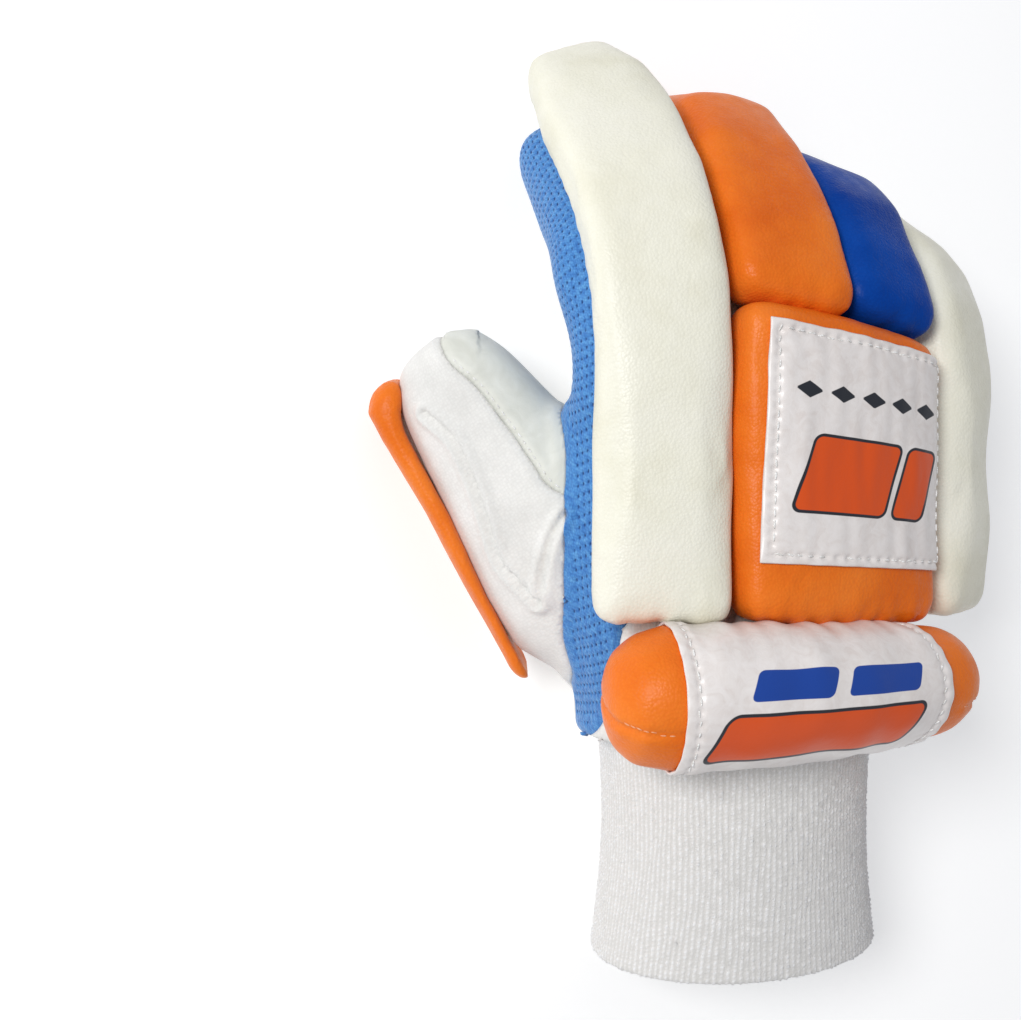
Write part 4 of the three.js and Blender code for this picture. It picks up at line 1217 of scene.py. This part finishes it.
def patchHeight(a, b):
    left, right = a - patch["across"][0], patch["across"][1] - a
    low, high = b - patch["along"][0], patch["along"][1] - b
    edge = np.minimum(np.minimum(left, right), np.minimum(low, high))
    flat = np.stack([a, b, 0 * a], axis=1)
    wrinkle = 0.13 * ripple(flat * (1.0, 0.22, 1.0), 4.2, 61) + 0.1 * ripple(flat * (1.0, 0.3, 1.0), 9.0, 62)
    corner = np.exp(-((left / 15.0) ** 2 + (high / 14.0) ** 2))
    wrinkle += patch["crinkle"] * corner * ripple(flat * (1.0, 0.6, 1.0), 3.6, 63)
    onLine = hump(edge, patch["stitchIn"], 0.75)
    run = np.where(np.minimum(left, right) < np.minimum(low, high), b, a)
    pucker = 0.5 + 0.5 * np.cos(run * 2 * np.pi / stitch["pitch"])
    dip = onLine * (0.2 + 0.65 * pucker)
    flare = 0.22 * hump(edge, 0, 1.5) * ripple(flat, 7.0, 64)
    return 1.25 + wrinkle * np.clip(edge / 4, 0.3, 1) - dip + flare - 0.35 * np.exp(-edge / 0.45)


def patchPlace(a, b, up):  # its left edge leans outwards towards the wrist
    leftness = (patch["across"][1] - a) / (patch["across"][1] - patch["across"][0])
    lowness = (patch["along"][1] - b) / (patch["along"][1] - patch["along"][0])
    return blockPlace(b, a - patch["lean"] * leftness * lowness, up)


patchPiece, a, b = leatherGrid("patch_leather", lambda a, b, up: patchPlace(a, b, 12.0 + up), blockTree,
                               patch["across"], patch["along"], patch["step"], patchHeight)
middle = (sum(patch["across"]) / 2, sum(patch["along"]) / 2)
u, v = a - middle[0], b - middle[1]
bars = np.minimum(boxDistance(u, v, (-6.5, -7.5), (13.0, 10.0), 1.8, 0.3),
                  boxDistance(u, v, (14.8, -7.5), (5.0, 10.0), 1.8, 0.3))
dark = np.min([lozengeDistance(u, v, (k * 9.6, 14.5), (3.9, 2.3)) for k in (-2, -1, 0, 1, 2)], axis=0)
setField(patchPiece, "print", bars, dark, np.full(len(a), 9.0))
modify(patchPiece, "SOLIDIFY", thickness=patch["wall"] * mm, offset=-1.0, use_rim=True)
finishPiece(patchPiece, whiteLeather, "white patch leather", "block_patch")

tag = {"along": (-35.3, 32.7), "angle": (math.radians(-40), math.radians(200)), "round": 17.6, "wall": 0.9,
       "stitchIn": 3.2, "step": 0.5}
rollTree = treeOf(rollPiece)


def labelHeight(a, b):
    left, right = a - tag["along"][0], tag["along"][1] - a
    low, high = (b - tag["angle"][0]) * tag["round"], (tag["angle"][1] - b) * tag["round"]
    sideways = np.minimum(left, right)
    edge = np.minimum(sideways, np.minimum(low, high))
    flat = np.stack([a, b * tag["round"], 0 * a], axis=1)
    top = np.clip((b - math.radians(105)) / math.radians(60), 0, 1)
    wrinkle = 0.1 * ripple(flat * (1.0, 0.35, 1.0), 9.0, 71)
    wrinkle += top * 0.3 * ripple(flat * (1.0, 0.25, 1.0), 6.0, 72)
    pucker = 0.5 + 0.5 * np.cos(flat[:, 1] * 2 * np.pi / stitch["pitch"])
    dip = hump(sideways, tag["stitchIn"], 0.75) * (0.25 + 0.6 * pucker)
    ruffle = 0.16 * hump(sideways, 0, 1.8) * np.sin(flat[:, 1] * 2 * np.pi / 6.1 + ripple(flat, 12.0, 73))
    return 1.15 + wrinkle * np.clip(edge / 3, 0.2, 1) - dip + ruffle - 0.3 * np.exp(-edge / 0.45)


def labelPlace(a, b, up):  # its edge at the thumb's end is cut in, and the other one bows out, round the roll
    middle = sum(tag["along"]) / 2
    bow = 1 + np.where(a < middle, -0.038, 0.03) * np.cos(b - math.radians(80))
    return rollPlace(middle + (a - middle) * bow, b, up)


labelPiece, a, b = leatherGrid("tagleather", labelPlace, rollTree, tag["along"],
                               (*tag["angle"], (tag["angle"][1] - tag["angle"][0]) * tag["round"]),
                               tag["step"], labelHeight, reach=(7.0, -9.0))
u, v = a - sum(tag["along"]) / 2, b * tag["round"]
orangeBar = boxDistance(u, v, (-2.0, math.radians(60) * tag["round"]), (24.5, 6.2), 2.2, 0.35)
blueBars = np.min([boxDistance(u, v, (x, math.radians(104) * tag["round"]), (9.6, 3.7), 1.4, 0.35)
                   for x in (-9.0, 14.0)], axis=0)
setField(labelPiece, "print", orangeBar, np.full(len(a), 9.0), blueBars)
modify(labelPiece, "SOLIDIFY", thickness=tag["wall"] * mm, offset=-1.0, use_rim=True)
finishPiece(labelPiece, whiteLeather, "white patch leather", "wrist_label")
print("patch and label made")

strap = {"length": 50.0, "inset": 3.0, "angle": (math.radians(224), math.radians(352)), "wall": 2.4,
         "stitchIn": 2.6, "grooveIn": 6.2, "raise": 0.45, "corner": 4.5}
strap["middle"] = strap["inset"] + strap["length"] / 2 - cuff["length"]
strapPiece = copyOf("strap_vinyl", "strap")
modify(strapPiece, "REMESH", mode="VOXEL", voxel_size=0.8 * mm)
points = relaxed(pointsOf(strapPiece), edgesOf(strapPiece), 3, shrink=True)
setPoints(strapPiece, points)


def cuffMeasure(points):
    along, across, up = wristMeasure(points)
    angle = np.arctan2((up + cuff["depth"] / 2) / (cuff["depth"] / 2), across / cuffHalf(along))
    return along, np.mod(angle, 2 * np.pi), np.linalg.norm(points - cuffPlace(along, angle, 0.0), axis=1)


def strapEdge(along, angle):  # how far inside the strap's outline a place is
    start, end = (x * cuff["round"] for x in strap["angle"])
    half = (strap["length"] / 2, (end - start) / 2)
    return -boxDistance(along - strap["middle"], angle * cuff["round"], (0.0, (start + end) / 2), half, 7.0)


def gridPath(place, corners, up, count=60):  # a closed line through corners in a piece's own coordinates
    path = []
    for (a0, b0), (a1, b1) in zip(corners, corners[1:] + corners[:1]):
        t = np.linspace(0, 1, count, endpoint=False)
        path.append(place(a0 + (a1 - a0) * t, b0 + (b1 - b0) * t, up))
    return np.vstack(path)


along, angle, out = cuffMeasure(points)
edge = strapEdge(along, angle)
outside = np.clip((out - 1.6) / 0.5, 0, 1)
lift = strap["raise"] * np.clip((edge - strap["grooveIn"]) / 1.2, 0, 1)
lift -= 0.5 * hump(edge, strap["grooveIn"], 0.6) + 0.35 * hump(edge, strap["stitchIn"], 0.6)
points = points + normalsOf(strapPiece) * (lift * outside)[:, None]
points[:, 2] = np.maximum(points[:, 2], 0.0)
setPoints(strapPiece, points)
finishPiece(strapPiece, vinyl, "strap vinyl", "strap")
strapTree = treeOf(strapPiece)
near, far = (strap["middle"] + side * (strap["length"] / 2 - strap["stitchIn"]) for side in (-1, 1))
inset, corner = strap["stitchIn"] / cuff["round"], strap["corner"] / cuff["round"]
low, high = strap["angle"][0] + inset, strap["angle"][1] - inset
strapLine = gridPath(cuffPlace, [
    (near, low + corner), (near, (low + high) / 2), (near, high - corner), (near + strap["corner"], high),
    (far - strap["corner"], high), (far, high - corner), (far, (low + high) / 2), (far, low + corner),
    (far - strap["corner"], low), (near + strap["corner"], low)], strap["wall"] + 0.3, 30)
sewn("strap_stitches", strapTree, [strapLine], "strap vinyl")
print("strap made")


inside = patch["stitchIn"]
low, high = patch["along"][0] + inside, patch["along"][1] - inside
left, right = patch["across"][0] + inside, patch["across"][1] - inside
patchLine = gridPath(patchPlace, [(left, low), (right, low), (right, high), (left, high)], 21.0)
for names, paths in seamThreads.items():
    if paths:
        carrier = pieces[names[0] if names[2] > 0 else names[1]]
        sewn("stitches_" + names[0] + "_" + names[1], treeOf(carrier), paths, panels[names[0]][1], lift=0.1,
             scale=0.72, pitch=2.6)
sewn("palm_patch_stitches", treeOf(palmPiece), [palmLine], "palm leather", scale=0.85, pitch=2.9)
for nodeName, pad in padding.items():
    spine = fingers[pad["finger"]]["spine"]
    reach = np.linspace(spine["length"] - 26, spine["length"] + 1.5, 40)
    sewn(nodeName + "_stitches", treeOf(pad["piece"]), [spinePlace(spine, reach, 0.0, -9.0)], pad["slot"],
         lift=0.05, scale=0.8, pitch=2.7)
sewn("patch_stitches", treeOf(patchPiece), [patchLine], "white patch leather")
sideLines = []
for at in (tag["along"][0] + tag["stitchIn"], tag["along"][1] - tag["stitchIn"]):
    sideLines.append(labelPlace(np.full(90, at), np.linspace(math.radians(-20), math.radians(180), 90), 1.5))
sewn("tagstitches", treeOf(labelPiece), sideLines, "white patch leather")
rollLines = []
for end, sign in zip(rollEnds, (1, -1)):
    reach = np.linspace(0.4, 15.0, 40)
    rollLines.append(rollPlace(end + reach * sign, np.full(40, rollMake["seam"]), 0.3))
sewn("roll_stitches", rollTree, rollLines, "orange leather", lift=0.05, scale=0.72, pitch=2.5,
     thread=paleOrangeThread)

# Floor, light and background
light = {"key": 7.2, "fill": 0.4, "back": 0.4, "world": 0.42, "floor": "#e6e6e5", "glow": 0.36}


def floorMaterial():
    # Matt white paper sweep
    material, _, shader = newMaterial("paper_floor", 0.95, specular=0.05)
    shader.inputs["Base Color"].default_value = linear(light["floor"])
    shader.inputs["Emission Color"].default_value = linear("#ffffff")
    shader.inputs["Emission Strength"].default_value = light["glow"]
    return material


bpy.ops.mesh.primitive_plane_add(size=6.0, location=(0, 0, -0.0002))
floor = bpy.context.active_object
floor.name = "floor"
floor.data.materials.append(floorMaterial())

world = bpy.data.worlds.new("studio")
scene.world = world
world.use_nodes = True
world.node_tree.nodes["Background"].inputs["Color"].default_value = linear("#f6f8ff")
world.node_tree.nodes["Background"].inputs["Strength"].default_value = light["world"]


def areaLight(name, place, target, size, power, colour="#ffffff"):
    data = bpy.data.lights.new(name, "AREA")
    data.shape, data.size, data.energy = "DISK", size, power
    data.color = linear(colour)[:3]
    lamp = bpy.data.objects.new(name, data)
    lamp.location = place
    lamp.rotation_euler = (Vector(target) - Vector(place)).to_track_quat("-Z", "Y").to_euler()
    scene.collection.objects.link(lamp)


areaLight("key", (-0.72, 0.2, 0.82), (0, 0, 0.05), 0.36, light["key"])
areaLight("fill", (0.3, -0.8, 0.7), (0, 0, 0.05), 0.8, light["fill"])
areaLight("back", (0.1, 0.9, 0.7), (0, 0, 0.05), 0.6, light["back"])
scene.view_settings.view_transform = "Standard"

print("stage and light made")
